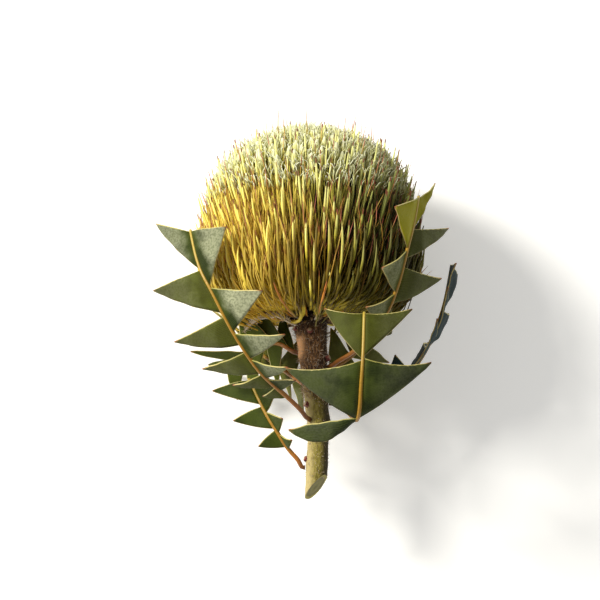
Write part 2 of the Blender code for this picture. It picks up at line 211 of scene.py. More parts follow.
class Paint:
    def __init__(self, name, roughness, **fixed):
        self.material = bpy.data.materials.new(name)
        self.material.use_nodes = True
        self.tree = self.material.node_tree
        self.shader = self.tree.nodes["Principled BSDF"]
        self.shader.inputs["Roughness"].default_value = roughness
        for key, value in fixed.items():
            self.shader.inputs[key.replace("_", " ")].default_value = value

    def add(self, kind, settings=None, sockets=None, out=0):
        """Adds one node and gives back one of its outputs."""
        node = self.tree.nodes.new("ShaderNode" + kind)
        for key, value in (settings or {}).items():
            setattr(node, key, value)
        for key, value in (sockets or {}).items():
            self.feed(node.inputs[key], value)
        return Wire(self, node.outputs[out])

    def feed(self, socket, value):
        if isinstance(value, Wire):
            self.tree.links.new(value.socket, socket)
        elif isinstance(value, tuple) and len(value) == 3 and socket.type == "RGBA":
            socket.default_value = (*value, 1.0)
        else:
            socket.default_value = value

    def place(self):
        """Gives the Object coordinates."""
        return self.add("TexCoord", out=3)

    def split(self, vector):
        node = self.tree.nodes.new("ShaderNodeSeparateXYZ")
        self.feed(node.inputs[0], vector)
        return [Wire(self, output) for output in node.outputs]

    def growth(self):
        """Gives a copy's own tone and the share of its length, from its UV map."""
        return self.split(self.add("UVMap", {"uv_map": "growth"}))[:2]

    def plant_place(self):
        """Gives x, y and z in millimetres from the bloom's base."""
        parts = self.split(self.place())
        return [part * 1000 - float(start) for part, start in zip(parts, BLOOM_BASE)]

    def noise(self, size, detail=3.0, roughness=0.5, vector=None):
        """Noise whose lumps are about so many millimetres across."""
        return self.add("TexNoise", {}, {"Vector": vector or self.place(), "Scale": 1.0 / (size * MM),
                                         "Detail": detail, "Roughness": roughness})

    def ramp(self, factor, *stops):
        """A colour ramp. Each stop is a place from 0 to 1 and a colour."""
        colours = self.add("ValToRGB", {}, {0: factor})
        elements = colours.socket.node.color_ramp.elements
        elements[0].position, elements[-1].position = stops[0][0], stops[-1][0]
        for at, code in stops[1:-1]:
            elements.new(at)
        for element, (at, code) in zip(elements, stops):
            element.color = (*shade(code), 1.0)
        return colours

    def mix(self, mask, first, second):
        """Mixes two colours, each of them a wire or a code."""
        first, second = (shade(colour) if isinstance(colour, str) else colour for colour in (first, second))
        return self.add("Mix", {"data_type": "RGBA", "clamp_factor": True}, {0: mask, 6: first, 7: second}, out=2)

    def coats(self, body, *layers):
        """Lays more colours over a first one, each where its own mask says, and makes that the base colour."""
        for mask, colour in layers:
            body = self.mix(mask, body, colour)
        self.feed(self.shader.inputs["Base Color"], body)

    def bump(self, height, distance, strength=1.0):
        normal = self.add("Bump", {}, {"Height": height, "Distance": distance * MM, "Strength": strength})
        self.feed(self.shader.inputs["Normal"], normal)


print("paint kit ready")

# %% [markdown]
# The flower lies on a plain pale floor. One large soft lamp from the upper left gives the sunny side and the
# shadows between the florets, and a pale surround fills them a little.

# %% Floor
FLOOR_SIZE = 6.0
FLOOR_GLOW = 0.28

bpy.ops.mesh.primitive_plane_add(size=FLOOR_SIZE, location=(0, 0, 0))
floor = bpy.context.active_object
floor.name = "floor"
floor_paint = Paint("floor_paint", 0.9, Emission_Color=(1.0, 0.99, 0.97, 1.0), Emission_Strength=FLOOR_GLOW)
floor_paint.coats(floor_paint.ramp(floor_paint.noise(400.0), (0.3, "f6f5f1"), (0.7, "f9f8f4")))
floor.data.materials.append(floor_paint.material)
floor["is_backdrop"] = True
print("floor", FLOOR_SIZE, "m wide")

# %% Light
KEY_DIRECTION = Vector((-0.7, 0.38, 0.62)).normalized()
KEY_DISTANCE = 1.2
KEY_SIZE = 0.34
KEY_POWER = 21.0
KEY_COLOUR = (1.0, 0.975, 0.92)
SKY_COLOUR = (0.98, 0.98, 0.97, 1.0)
SKY_STRENGTH = 0.42

lamp = bpy.data.lights.new("key", "AREA")
lamp.shape = "DISK"
lamp.size = KEY_SIZE
lamp.energy = KEY_POWER
lamp.color = KEY_COLOUR
aim("key", lamp, KEY_DIRECTION, KEY_DISTANCE)

sky = bpy.data.worlds.new("sky")
sky.use_nodes = True
sky.node_tree.nodes["Background"].inputs["Color"].default_value = SKY_COLOUR
sky.node_tree.nodes["Background"].inputs["Strength"].default_value = SKY_STRENGTH
bpy.context.scene.world = sky
bpy.context.scene.view_settings.view_transform = "Standard"
print("key lamp", KEY_POWER, "W")

# %% [markdown]
# Florets, hairs, bracts, ribs and leaf margins are all slender things that follow a route. Each kind is modelled
# once, upright and one unit long: a circle is extruded ring by ring, and its ends are closed. `grow` then sets a
# copy along each of many routes and keeps, in a UV map, the copy's own tone and the share of its length.

# %% Rings and routes


def stack_rings(name, sides, rings):
    """Extrudes a circle along Z. Each ring is a height and a radius, and both ends are closed by a fan."""
    bpy.ops.object.select_all(action="DESELECT")
    height, radius = rings[0]
    bpy.context.tool_settings.mesh_select_mode = (True, False, False)
    bpy.ops.mesh.primitive_circle_add(vertices=sides, radius=radius, fill_type="NOTHING", location=(0, 0, 0))
    piece = bpy.context.active_object
    piece.name = name
    bpy.ops.object.mode_set(mode="EDIT")
    bpy.ops.mesh.select_all(action="SELECT")
    bpy.ops.transform.translate(value=(0, 0, height))
    for next_height, next_radius in rings[1:]:
        bpy.ops.mesh.extrude_region_move(TRANSFORM_OT_translate={"value": (0, 0, next_height - height)})
        ratio = next_radius / radius
        bpy.ops.transform.resize(value=(ratio, ratio, 1), center_override=(0, 0, next_height))
        height, radius = next_height, next_radius
    for end in (rings[0][0], rings[-1][0]):
        choose(piece, lambda co: abs(co.z - end) < 1e-4)
        bpy.ops.mesh.edge_face_add()
        bpy.ops.mesh.poke()
    bpy.ops.mesh.select_all(action="SELECT")
    bpy.ops.mesh.normals_make_consistent(inside=False)
    bpy.ops.object.mode_set(mode="OBJECT")
    return piece


def lay_down(piece):
    """Turns a piece that was stacked along Z so that it runs along Y."""
    pick(piece)
    piece.rotation_euler = (math.radians(-90), 0, 0)
    bpy.ops.object.transform_apply(location=False, rotation=True, scale=False)


def unit(vectors):
    return vectors / np.maximum(np.linalg.norm(vectors, axis=-1, keepdims=True), 1e-9)


def bend(*controls, steps=12):
    """Samples smooth curves through four control points each; the controls are arrays of places."""
    t = np.linspace(0, 1, steps)
    shares = np.stack([(1 - t) ** 3, 3 * t * (1 - t) ** 2, 3 * t * t * (1 - t), t ** 3])
    return np.einsum("kt,kna->nta", shares, np.stack(np.broadcast_arrays(*controls)))


def bend_rows(rows):
    """The same from a table, where each row holds the four controls of one curve."""
    return bend(*np.swapaxes(np.array(rows), 0, 1))


def distances_along(line):
    return np.concatenate([[0], np.cumsum(np.linalg.norm(np.diff(line, axis=0), axis=1))])


def read_line(line, distances):
    """Gives the places at some distances along a line."""
    return np.stack([np.interp(distances, distances_along(line), line[:, axis]) for axis in range(3)], -1)


print("rings and routes ready")

# %% Set out many copies


def cross_axes(routes):
    """Gives two directions across each route at each of its steps, which don't twist along it."""
    along = unit(np.gradient(routes, axis=1))
    side = np.empty_like(routes)
    helper = np.where(np.abs(along[:, 0, 2:3]) < 0.8, (0.0, 0.0, 1.0), (1.0, 0.0, 0.0))
    side[:, 0] = unit(np.cross(along[:, 0], helper))
    for step in range(1, routes.shape[1]):
        before = side[:, step - 1]
        side[:, step] = unit(before - along[:, step] * np.sum(before * along[:, step], -1, keepdims=True))
    return side, np.cross(along, side)


def grow(name, model, routes, widths, tones, flat=1.0):
    """Sets a copy of the model along each route. Widths are across the copies, in millimetres."""
    routes = np.asarray(routes, float)
    count, steps = routes.shape[:2]
    side, other = cross_axes(routes)
    corners = np.array([tuple(corner.co) for corner in model.data.vertices])
    at = np.clip(corners[:, 2], 0, 1) * (steps - 1)
    low = np.minimum(at.astype(int), steps - 2)
    part = (at - low)[None, :, None]

    def read(values):
        return values[:, low] * (1 - part) + values[:, low + 1] * part

    widths = np.broadcast_to(np.asarray(widths, float), (count,))[:, None, None]
    places = above_floor(read(routes) + read(side) * corners[None, :, 0:1] * widths
                         + read(other) * corners[None, :, 1:2] * widths * flat, SKIN_CLEAR)
    faces = [tuple(face.vertices) for face in model.data.polygons]
    mesh = bpy.data.meshes.new(name)
    mesh.from_pydata(world(places.reshape(-1, 3)).tolist(), [],
                     [tuple(v + len(corners) * copy for v in face) for copy in range(count) for face in faces])
    loop_corner = np.array([v for face in faces for v in face])
    uv = np.empty((count, len(loop_corner), 2), np.float32)
    uv[..., 0] = np.broadcast_to(np.asarray(tones, float), (count,))[:, None]
    uv[..., 1] = corners[loop_corner, 2][None, :]
    mesh.uv_layers.new(name="growth").data.foreach_set("uv", uv.ravel())
    mesh.shade_smooth()
    piece = bpy.data.objects.new(name, mesh)
    bpy.context.scene.collection.objects.link(piece)
    print(name, count, "copies,", triangles(piece), "triangles")
    return piece


def wear(piece, paint, node):
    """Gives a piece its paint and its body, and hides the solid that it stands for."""
    if paint is not None:
        piece.data.materials.clear()
        piece.data.materials.append(paint.material)
    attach(piece, "root")
    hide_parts(node)


def crowd(name, model, routes, width_range, paint, node, tone_range=(0, 1)):
    """Grows copies of uneven width and tone, and gives them their paint."""
    widths = rng.uniform(*width_range, len(routes))
    wear(grow(name, model, routes, widths, rng.uniform(*tone_range, len(routes))), paint, node)


def put_away(*models):
    for model in models:
        mesh = model.data
        bpy.data.objects.remove(model)
        bpy.data.meshes.remove(mesh)


print("growing kit ready")

# %% [markdown]
# A floret before it opens is a slim spindle: a thin tube that swells into a long limb and ends in a point. Thinner
# strands fill the space between them. Hairs and wisps are finer still, so they have only three sides.

# %% Models of a floret, a tube, a strand, a bud and a hair
spindle = stack_rings("spindle", 6, [(0, 0.24), (0.4, 0.28), (0.58, 0.38), (0.72, 0.5), (0.84, 0.46), (0.93, 0.28),
                                     (0.985, 0.24), (1, 0.1)])
tube_floret = stack_rings("tube_floret", 6, [(0, 0.5), (0.12, 0.5), (0.25, 0.5), (0.38, 0.5), (0.5, 0.46),
                                             (0.6, 0.42), (0.7, 0.42), (0.82, 0.46), (0.92, 0.3), (1, 0.05)])
strand = stack_rings("strand", 4, [(0, 0.42), (0.35, 0.5), (0.68, 0.5), (0.88, 0.4), (1, 0.1)])
bud = stack_rings("bud", 7, [(0, 0.3), (0.3, 0.42), (0.6, 0.5), (0.82, 0.42), (0.94, 0.24), (1, 0.08)])
hair = stack_rings("hair", 3, [(0, 0.5), (0.25, 0.5), (0.5, 0.45), (0.75, 0.35), (1, 0.12)])
print("a floret has", triangles(spindle), "triangles and a hair", triangles(hair))

# %% [markdown]
# The dome is a turned shape. A row of stations from its top to its lowest florets gives the tip's distance from
# the axis, its height, how far the floret leans out at its tip and at its root, and its length. A floret curves:
# it leaves the middle of the bloom outwards and ends nearly upright. Reading the stations by their share of the
# surface spaces the florets evenly, and the golden angle sets them out as they grow.

# %% The dome
STATIONS = np.array((
    (0.0, 80.3, 0.0, 0.0, 10.0),
    (12.0, 79.6, 3.0, 6.0, 11.0),
    (22.6, 76.2, 6.0, 14.0, 14.0),
    (32.2, 70.6, 9.0, 22.0, 18.0),
    (40.2, 61.8, 11.0, 32.0, 22.0),
    (45.0, 51.5, 14.0, 44.0, 25.0),
    (47.2, 41.0, 16.0, 58.0, 27.0),
    (47.6, 30.0, 17.0, 72.0, 29.0),
    (46.0, 20.0, 18.0, 82.0, 31.0),
    (41.5, 12.0, 20.0, 88.0, 32.0),
))
OUTLINE_STEPS = 400
GOLDEN_ANGLE = math.pi * (3.0 - math.sqrt(5.0))

fine = np.linspace(0, len(STATIONS) - 1, OUTLINE_STEPS)
outline = np.stack([np.interp(fine, range(len(STATIONS)), column) for column in STATIONS.T], 1)
stretch = np.hypot(np.diff(outline[:, 0]), np.diff(outline[:, 1]))
skin = np.concatenate([[0], np.cumsum(stretch * (outline[1:, 0] + outline[:-1, 0]) / 2)])
skin /= skin[-1]


def dome_at(share):
    return [np.interp(share, skin, column) for column in outline.T]


def round_axis(turn):
    """Directions out from the bloom's axis."""
    return np.stack([np.cos(turn), np.zeros_like(turn), np.sin(turn)], -1)


print("dome", round(outline[:, 0].max() * 2, 1), "mm wide over the floret tips")

# %% Routes of the florets
# The shares of a floret's length from its tip to its neck, from there to its elbow and from there to its root.
NECK, ELBOW, ROOT = 0.45, 0.25, 0.3
TURN_JITTER = 0.03


def floret_routes(first, last, count, tip_low, tip_high, uneven, steps=12):
    """Curved routes of florets between two shares of the dome's surface. Their tips end between two heights
    over the dome, and they lean up to so many degrees out of line."""
    share = first + (last - first) * (np.arange(count) + 0.5) / count
    turn = np.arange(count) * GOLDEN_ANGLE + rng.uniform(-TURN_JITTER, TURN_JITTER, count)
    radius, height, tip_lean, root_lean, length = dome_at(share)
    length = length[:, None]
    lean_off, across = rng.uniform(-uneven, uneven, (2, count))
    out, aside = round_axis(turn), round_axis(turn + math.pi / 2)

    def heading(lean, across):
        lean, across = np.radians(lean)[:, None], np.radians(across)[:, None]
        return unit(out * np.sin(lean) + UP * np.cos(lean) + aside * np.sin(across))

    top = heading(tip_lean + lean_off, across)
    tip = out * radius[:, None] + UP * height[:, None] + top * rng.uniform(tip_low, tip_high, count)[:, None]
    neck = tip - top * length * NECK
    elbow = neck - heading((tip_lean + root_lean) / 2, across * 0.5) * length * ELBOW
    root = elbow - heading(root_lean, across * 0.0) * length * ROOT
    return above_floor(bend(root, elbow, neck, tip, steps=steps))


print("floret routes ready")

# %% [markdown]
# Under the florets is the dense inner mass that they grow from. It shows only in the gaps between them, so it is
# painted dark as their shade, darkest at the right, and golden as painted sunlight where the sun reaches it; a
# turned form that stays well behind the tips is enough.

# %% The inner mass
CORE_SIDES = 64
CORE_RINGS = [(0.6, 6.0), (1.6, 14.0), (2.8, 21.0), (6.0, 27.5), (12.0, 32.0), (21.0, 35.5), (31.0, 36.5),
              (42.0, 35.0), (52.0, 32.0), (60.0, 27.0), (66.0, 20.0), (69.5, 12.0), (70.5, 6.0)]
LUMP_FINENESS = 0.35
LUMP_HEIGHT = 0.01
core = stack_rings("bloom_core", CORE_SIDES, CORE_RINGS)
lay_down(core)
for corner in core.data.vertices:
    lump = LUMP_HEIGHT * noise.noise(corner.co * LUMP_FINENESS)
    corner.co = world(np.array(corner.co) * (1 + lump))
core.data.shade_smooth()

core_paint = Paint("floret_bed", 0.9)
x, y, z = core_paint.plant_place()
# Painted light: the dark bed is painted shade between the florets, the gold coat is painted sunlight at the upper
# left, and the low band runs from painted sunlight at the left to painted shade at the right.
bed = core_paint.ramp(core_paint.noise(2.2, detail=4), (0.3, "1c1406"), (0.55, "36280a"), (0.75, "574410"))
low_bed_sun_shade = core_paint.mix(x.step(8.0, -20.0), "4a3c0c", "deb444")
core_paint.coats(
    bed,
    (x.step(5.0, -28.0) * y.step(64.0, 44.0) * 0.8, "b8942c"),
    (y.step(10.0, 4.0) * 0.85, low_bed_sun_shade))
core_paint.bump(core_paint.noise(1.2), 0.6)
wear(core, core_paint, "bloom")
print("core", triangles(core), "triangles")

# %% [markdown]
# The florets themselves. The long bright ones stand well apart, and thin strands at odd angles fill the space
# between them. Their paint runs along each floret from a root painted dark as the shade deep in the dome to a
# lemon limb and a small brown tip. It drifts to the pale green of the crown with height; painted sunlight turns it
# gold at the lower left, and painted shade turns it olive at the right and the strands there nearly black.

# %% Floret paint
FLORET_GLOSS = 0.25
# The dark first stops are painted shade deep among the florets. Of the tints, the gold is painted sunlight and the
# olive painted shade.
LIMB_STOPS = ((0.0, "120e04"), (0.4, "4a3c0a"), (0.54, "c2a61c"), (0.68, "f0de4e"), (0.93, "faf292"),
              (1.0, "b9803a"))
LIMB_TINTS = {"brown": "c08a1c", "sunlit_gold": "fce866", "shaded_olive": "7a862e", "high": "f4f2a0"}
STRAND_STOPS = ((0.0, "1c1203"), (0.42, "2c1e04"), (0.62, "5c4206"), (0.88, "947210"), (1.0, "8c5c18"))
STRAND_TINTS = {"brown": "5e3a0a", "sunlit_gold": "e2c250", "shaded_olive": "121003", "high": "d6d25a"}


def floret_paint(name, stops, tints, high_from, high_to, sunny, roughness):
    """Paints a floret along its length by its stops, and by where it stands by its four tints: its brown and crown
    colours, painted sunlight in gold at the left and painted shade in olive at the right.
    """
    paint = Paint(name, roughness, Specular_IOR_Level=FLORET_GLOSS)
    tone, along = paint.growth()
    x, y, z = paint.plant_place()
    streak = paint.noise(0.9, detail=2)
    ragged_x = x + (streak - 0.5) * 8
    shady = ragged_x.step(-4.0, 34.0) * y.step(4.0, 16.0)
    low_sun_shade = paint.mix(x.step(6.0, -22.0), "7e7218", "e2b838")
    # Painted light: the gold coat is painted sunlight at the left, the olive and dark coats are painted shade at
    # the right, and the low coat runs from painted sunlight at the left to painted shade at the right.
    paint.coats(
        paint.ramp(along + (streak - 0.5) * 0.1, *stops),
        (tone.step(0.4, 0.05) * y.step(50.0, 22.0) * 0.6, tints["brown"]),
        (tone.step(0.85, 0.92) * along.step(0.4, 0.7) * 0.6, "ecd850"),
        (y.step(high_from, high_to) * along.step(0.3, 0.6) * 0.8, tints["high"]),
        (ragged_x.step(6.0, -26.0) * y.step(66.0, 30.0) * sunny, tints["sunlit_gold"]),
        (shady * y.step(80.0, 40.0) * 0.85, tints["shaded_olive"]),
        (shady * y.step(66.0, 32.0) * tone.step(0.8, 0.6) * 0.7, "34340c"),
        (y.step(14.0, 5.0) * along.step(0.7, 0.3) * 0.8, low_sun_shade),
        (along.step(0.92, 0.95) * tone.step(0.1, 0.4) * 0.9, "722c20"))
    paint.bump(streak, 0.12, 0.6)
    return paint


limb_paint = floret_paint("floret_limb", LIMB_STOPS, LIMB_TINTS, 18.0, 58.0, 0.75, 0.55)
strand_paint = floret_paint("floret_strand", STRAND_STOPS, STRAND_TINTS, 16.0, 56.0, 0.9, 0.6)
print("floret paints ready")

# %% Florets of the side
# Each crowd: the first and last share of the dome, how many, the lowest and highest tip, and the degrees off line.
LEVEL_FLORETS = (0.04, 0.82, 280, -4.5, 1.5, 4.5)
RAISED_FLORETS = (0.14, 0.84, 140, 2.0, 4.6, 4.0)
STRANDS = (0.06, 0.87, 2500, -12.0, -3.2, 12.0)
LIMB_WIDTHS = (0.8, 1.3)
STRAND_WIDTHS = (0.35, 0.7)
routes = np.concatenate([floret_routes(*LEVEL_FLORETS), floret_routes(*RAISED_FLORETS)])
crowd("florets_side", spindle, routes, LIMB_WIDTHS, limb_paint, "bloom")
crowd("floret_strands", strand, floret_routes(*STRANDS), STRAND_WIDTHS, strand_paint, "bloom")

# %% [markdown]
# The lowest florets don't rise from the side. Their thin tubes start beside the stem, run outwards under the
# bloom like the spokes of a wheel and only then turn up, so the underside shows them all the way. A few tubes in
# front have let go of the rest and leave a dark hole beside them.

# %% Routes of the underside
# Each row: how many, then distance from the axis and height for the root, two bends and the tip.
UNDER_ROWS = (
    (60, (7.5, -0.5), (28.0, -1.0), (43.5, -2.5), (41.0, 11.0)),
    (60, (8.0, 0.6), (31.0, 0.0), (47.0, -1.0), (44.5, 17.0)),
    (58, (8.5, 1.8), (33.0, 1.5), (49.0, 3.5), (46.6, 24.0)),
    (56, (9.5, 3.5), (35.0, 3.5), (50.0, 9.0), (47.6, 31.0)),
)
TUBE_WIDTHS = (1.0, 1.35)
TUBE_TURN_JITTER = 0.22
TUBE_WANDER = 0.9
FRONT_HOLE = math.radians(95.0)
HOLE_WIDTH = math.radians(4.5)
HOLED_ROWS = 2
# Each loose tube: the four controls of its curve, in millimetres from the bloom's base.
LOOSE_TUBES = (
    ((-8.5, -5.5, 8.0), (0.0, -8.5, 15.0), (-3.5, -1.0, 30.0), (-12.5, 5.0, 41.5)),
    ((-4.0, -3.0, 8.0), (-1.5, -5.5, 15.0), (-3.0, 1.0, 30.0), (-3.5, 9.0, 41.0)),
    ((1.5, -2.5, 7.5), (3.5, -4.0, 15.0), (0.5, 0.0, 27.0), (1.0, 10.0, 42.0)),
    ((4.0, -2.0, 7.0), (8.0, -3.5, 17.0), (9.0, -1.5, 30.0), (12.5, 8.0, 40.0)),
)
LOOSE_WIDTH = 1.5

under_routes, under_widths = [], []
for row, (count, *stops) in enumerate(UNDER_ROWS):
    off = rng.uniform(-TUBE_TURN_JITTER, TUBE_TURN_JITTER, count)
    turn = (np.arange(count) + 0.5 * (row % 2) + off) * math.tau / count
    wander = rng.uniform(-TUBE_WANDER, TUBE_WANDER, (4, count))
    controls = []
    for number, (radius, height) in enumerate(stops):
        outward = round_axis(turn + rng.uniform(-TURN_JITTER, TURN_JITTER, count) * number / 3)
        controls.append(outward * (radius + wander[number] * number / 2)[:, None]
                        + UP * (height + wander[number - 1] * number)[:, None])
    kept = np.abs(turn - FRONT_HOLE) > HOLE_WIDTH if row < HOLED_ROWS else np.full(count, True)
    under_routes.append(above_floor(bend(*controls))[kept])
    under_widths.append(rng.uniform(*TUBE_WIDTHS, count)[kept])
under_routes = np.concatenate([*under_routes, bend_rows(LOOSE_TUBES)])
under_widths = np.concatenate([*under_widths, np.full(len(LOOSE_TUBES), LOOSE_WIDTH)])
print("tubes under the bloom:", len(under_routes))

# %% Florets of the underside
# The dark stop at 0.56 is painted shade at each tube's bend.
TUBE_STOPS = ((0.0, "9a8420"), (0.1, "e2c838"), (0.44, "f0d83e"), (0.56, "6a5a12"), (0.67, "a8921c"),
              (0.76, "eedc50"), (0.93, "f8f08e"), (1.0, "8a4426"))

tube_paint = Paint("floret_tube", 0.5, Specular_IOR_Level=FLORET_GLOSS)
tone, along = tube_paint.growth()
x, y, z = tube_paint.plant_place()
streak = tube_paint.noise(0.8, detail=2)
from_stem = (x * x + z * z) ** 0.5
# Painted light: the gold coats at the left are painted sunlight, and the olive and dark coats at the right and
# near the stem are painted shade.
tube_paint.coats(
    tube_paint.ramp(along + (streak - 0.5) * 0.12, *TUBE_STOPS),
    (tone.step(0.35, 0.0) * 0.3, "b08c28"),
    (tone.step(0.75, 0.65) * along.step(0.45, 0.6) * 0.9, "5e440a"),
    (x.step(2.0, -26.0) * along.step(0.6, 0.45) * 0.8, "ffdc48"),
    (x.step(2.0, -28.0) * along.step(0.45, 0.6) * (tone * 0.5 + 0.3), "f0d050"),
    (x.step(-5.0, 30.0) * 0.6, "5c5c14"),
    (x.step(5.0, 32.0) * along.step(0.5, 0.65) * 0.6, "3a3a10"),
    (from_stem.step(17.0, 8.0) * 0.7, "5c5014"))
tube_paint.bump(streak, 0.15, 0.6)
tones = rng.uniform(0, 1, len(under_routes))
wear(grow("florets_under", tube_floret, under_routes, under_widths, tones), tube_paint, "bloom")

# %% [markdown]
# The crown is still in bud. Short fat buds stand close together there, in a felt of white hairs and small curled
# wisps. The wisps thin out down the side of the dome.

# %% Crown buds
CROWN_BUDS = (0.0, 0.3, 210, -4.0, -1.6, 4.0)
BUD_LENGTH = 0.62
BUD_WIDTHS = (2.6, 3.6)
routes = floret_routes(*CROWN_BUDS, steps=6)
routes = routes[:, -1:] - (routes[:, -1:] - routes) * BUD_LENGTH
bud_paint = Paint("crown_bud", 0.7, Sheen_Weight=0.4, Sheen_Roughness=0.4)
tone, along = bud_paint.growth()
x, y, z = bud_paint.plant_place()
# The last coat is painted shade on the right side of the crown.
bud_paint.coats(
    bud_paint.ramp(along, (0.0, "6a6216"), (0.5, "a8a03a"), (0.8, "d2d080"), (1.0, "ebebc6")),
    (tone * 0.35, "dfe2b4"),
    (x.step(4.0, 34.0) * 0.6, "8a8640"))
bud_paint.bump(bud_paint.noise(0.7), 0.2)
crowd("crown_buds", bud, routes, BUD_WIDTHS, bud_paint, "bloom")

# %% Crown wisps
WISPS = 4400
WISP_WIDTHS = (0.35, 0.65)
# The last share of the dome that has wisps, and how fast they thin out towards it.
WISPS_TO, WISPS_THIN = 0.47, 1.7
WISP_LENGTHS = (3.0, 6.0)
WISP_DEPTHS = (4.5, 7.5)
WISP_CURL = 0.2
WISP_TILT_JITTER = 0.16

share = WISPS_TO * rng.uniform(0, 1, WISPS) ** WISPS_THIN
radius, height, tip_lean, root_lean, length = dome_at(share)
out = round_axis(rng.uniform(0, math.tau, WISPS))
tilt = np.radians(tip_lean * 2.5)[:, None]
normal = unit(out * np.sin(tilt) + UP * np.cos(tilt) + rng.normal(size=(WISPS, 3)) * WISP_TILT_JITTER)
start = out * radius[:, None] + UP * height[:, None] - normal * rng.uniform(*WISP_DEPTHS, WISPS)[:, None]
length = rng.uniform(*WISP_LENGTHS, WISPS)[:, None]
sway = unit(rng.normal(size=(WISPS, 3)))
sway = unit(sway - normal * np.sum(sway * normal, -1, keepdims=True)) * length * WISP_CURL
hook = rng.uniform(0.7, 1.0, WISPS)[:, None]
routes = above_floor(bend(start, start + normal * length * 0.5, start + normal * length * 0.9 + sway,
                          start + normal * length * hook + sway * 1.7, steps=8))

wisp_paint = Paint("crown_wisp", 0.8, Sheen_Weight=0.5, Sheen_Roughness=0.5)
tone, along = wisp_paint.growth()
x, y, z = wisp_paint.plant_place()
# The last coat is painted shade on the right side of the crown.
wisp_paint.coats(
    wisp_paint.ramp(along, (0.0, "b8b44c"), (0.4, "dfe0ae"), (1.0, "f4f4e0")),
    (tone.step(0.6, 1.0) * 0.6, "e0e08a"),
    (x.step(8.0, 38.0) * 0.55, "989458"))
crowd("crown_wisps", hair, routes, WISP_WIDTHS, wisp_paint, "bloom")

# %% [markdown]
# A few styles already stand out past the florets all over the dome, as hair-thin lines with a red end. They are
# what makes the outline bristle. Others are still caught between the florets and bend in all directions.

# %% Styles
OPEN_STYLES = (0.02, 1.0, 230, 1.0, 7.0, 9.0)
CAUGHT_STYLES = (0.3, 0.88, 220, -7.0, -1.0, 20.0)
STYLE_WIDTHS = (0.42, 0.62)
CAUGHT_WIDTHS = (0.42, 0.6)
# Three long styles reach out past the leaf at the right: the four controls of each curve.
FAR_STYLES = (
    ((36.0, 6.0, 4.0), (42.0, 10.0, 4.0), (46.0, 15.0, 4.0), (49.5, 19.0, 4.0)),
    ((36.0, 4.0, 2.0), (42.0, 8.5, 2.0), (47.0, 14.0, 2.0), (51.5, 17.5, 2.0)),
    ((36.0, 3.0, 0.0), (43.0, 6.0, 0.0), (47.0, 10.0, 0.0), (50.5, 14.0, 0.0)),
)
style_paint = Paint("style_pink", 0.5)
tone, along = style_paint.growth()
style_paint.coats(
    style_paint.ramp(along, (0.0, "7d7420"), (0.66, "c9b44e"), (0.82, "b8604a"), (1.0, "6d2430")),
    (tone * 0.3, "c9804a"))
routes = np.concatenate([floret_routes(*OPEN_STYLES), bend_rows(FAR_STYLES)])
crowd("style_tips", hair, routes, STYLE_WIDTHS, style_paint, "bloom")

caught_paint = Paint("style_caught", 0.5)
tone, along = caught_paint.growth()
caught_paint.coats(
    caught_paint.ramp(along, (0.0, "6a4c10"), (0.55, "b08a1c"), (0.85, "c09038"), (1.0, "8a5028")),
    (tone.step(0.5, 1.0) * 0.6, "dcc45c"))
crowd("styles_caught", strand, floret_routes(*CAUGHT_STYLES), CAUGHT_WIDTHS, caught_paint, "bloom")

# %% [markdown]
# Long needle-like bracts come up between the lowest florets and the stem. Two of them stand in front of the
# bloom, and the rest follow all the way round.

# %% Needle bracts
# Each needle: degrees round the stem from the front, positive to the right, and its length as a share.
NEEDLES = [(-62, 0.6), (55, 0.7), (88, 0.55), (-100, 0.8), (125, 0.7), (150, 0.55),
           (178, 0.8), (-155, 0.6), (-130, 0.7), (34, 0.5), (-8, 0.45), (-45, 0.55)]
# Distance from the axis and height for the foot, two bends and the tip of a needle of full length.
NEEDLE_STOPS = ((7.0, -3.0), (14.0, -5.0), (24.0, -1.5), (30.5, 7.0))
# The two in front: the four controls of each curve, in millimetres from the bloom's base.
FRONT_NEEDLES = (
    ((-5.0, -4.0, 7.0), (-8.5, -4.5, 22.0), (-12.0, -3.0, 40.0), (-14.8, 4.6, 43.5)),
    ((2.0, -4.5, 8.0), (3.5, -5.0, 24.0), (4.8, -3.0, 40.0), (6.6, 5.4, 43.5)),
)
NEEDLE_WIDTH = 1.1


def round_stem(degrees):
    """Directions out from the stem, by degrees from the front."""
    angle = np.radians(np.asarray(degrees, float))
    return np.stack([np.sin(angle), np.zeros_like(angle), np.cos(angle)], -1)


outward = round_stem([turn for turn, share in NEEDLES])
share = np.array([share for turn, share in NEEDLES])[:, None]
foot_out, foot_up = NEEDLE_STOPS[0]
stops = [outward * (foot_out + (radius - foot_out) * share) + UP * (foot_up + (height - foot_up) * share)
         for radius, height in NEEDLE_STOPS]
routes = np.concatenate([bend(*stops), bend_rows(FRONT_NEEDLES)])
needles = grow("needle_bracts", strand, routes, NEEDLE_WIDTH, rng.uniform(0, 1, len(routes)))
needle_paint = Paint("needle_bract", 0.5)
tone, along = needle_paint.growth()
needle_paint.coats(needle_paint.ramp(along, (0.0, "eee6d2"), (0.14, "d8bc84"), (0.4, "e09c34"), (0.8, "cc7e26"),
                                     (1.0, "8a4418")))
needle_paint.bump(needle_paint.noise(0.6), 0.1)
wear(needles, needle_paint, "bloom")

# %% [markdown]
# The stem is a branch cut at a slant. Rings are stacked along it, one for each millimetre, so that it swells and
# narrows. Noise then raises the bark into lumps and ridges, and a bisect makes the cut, which is inset so that a
# rim of bark stands round the pith.

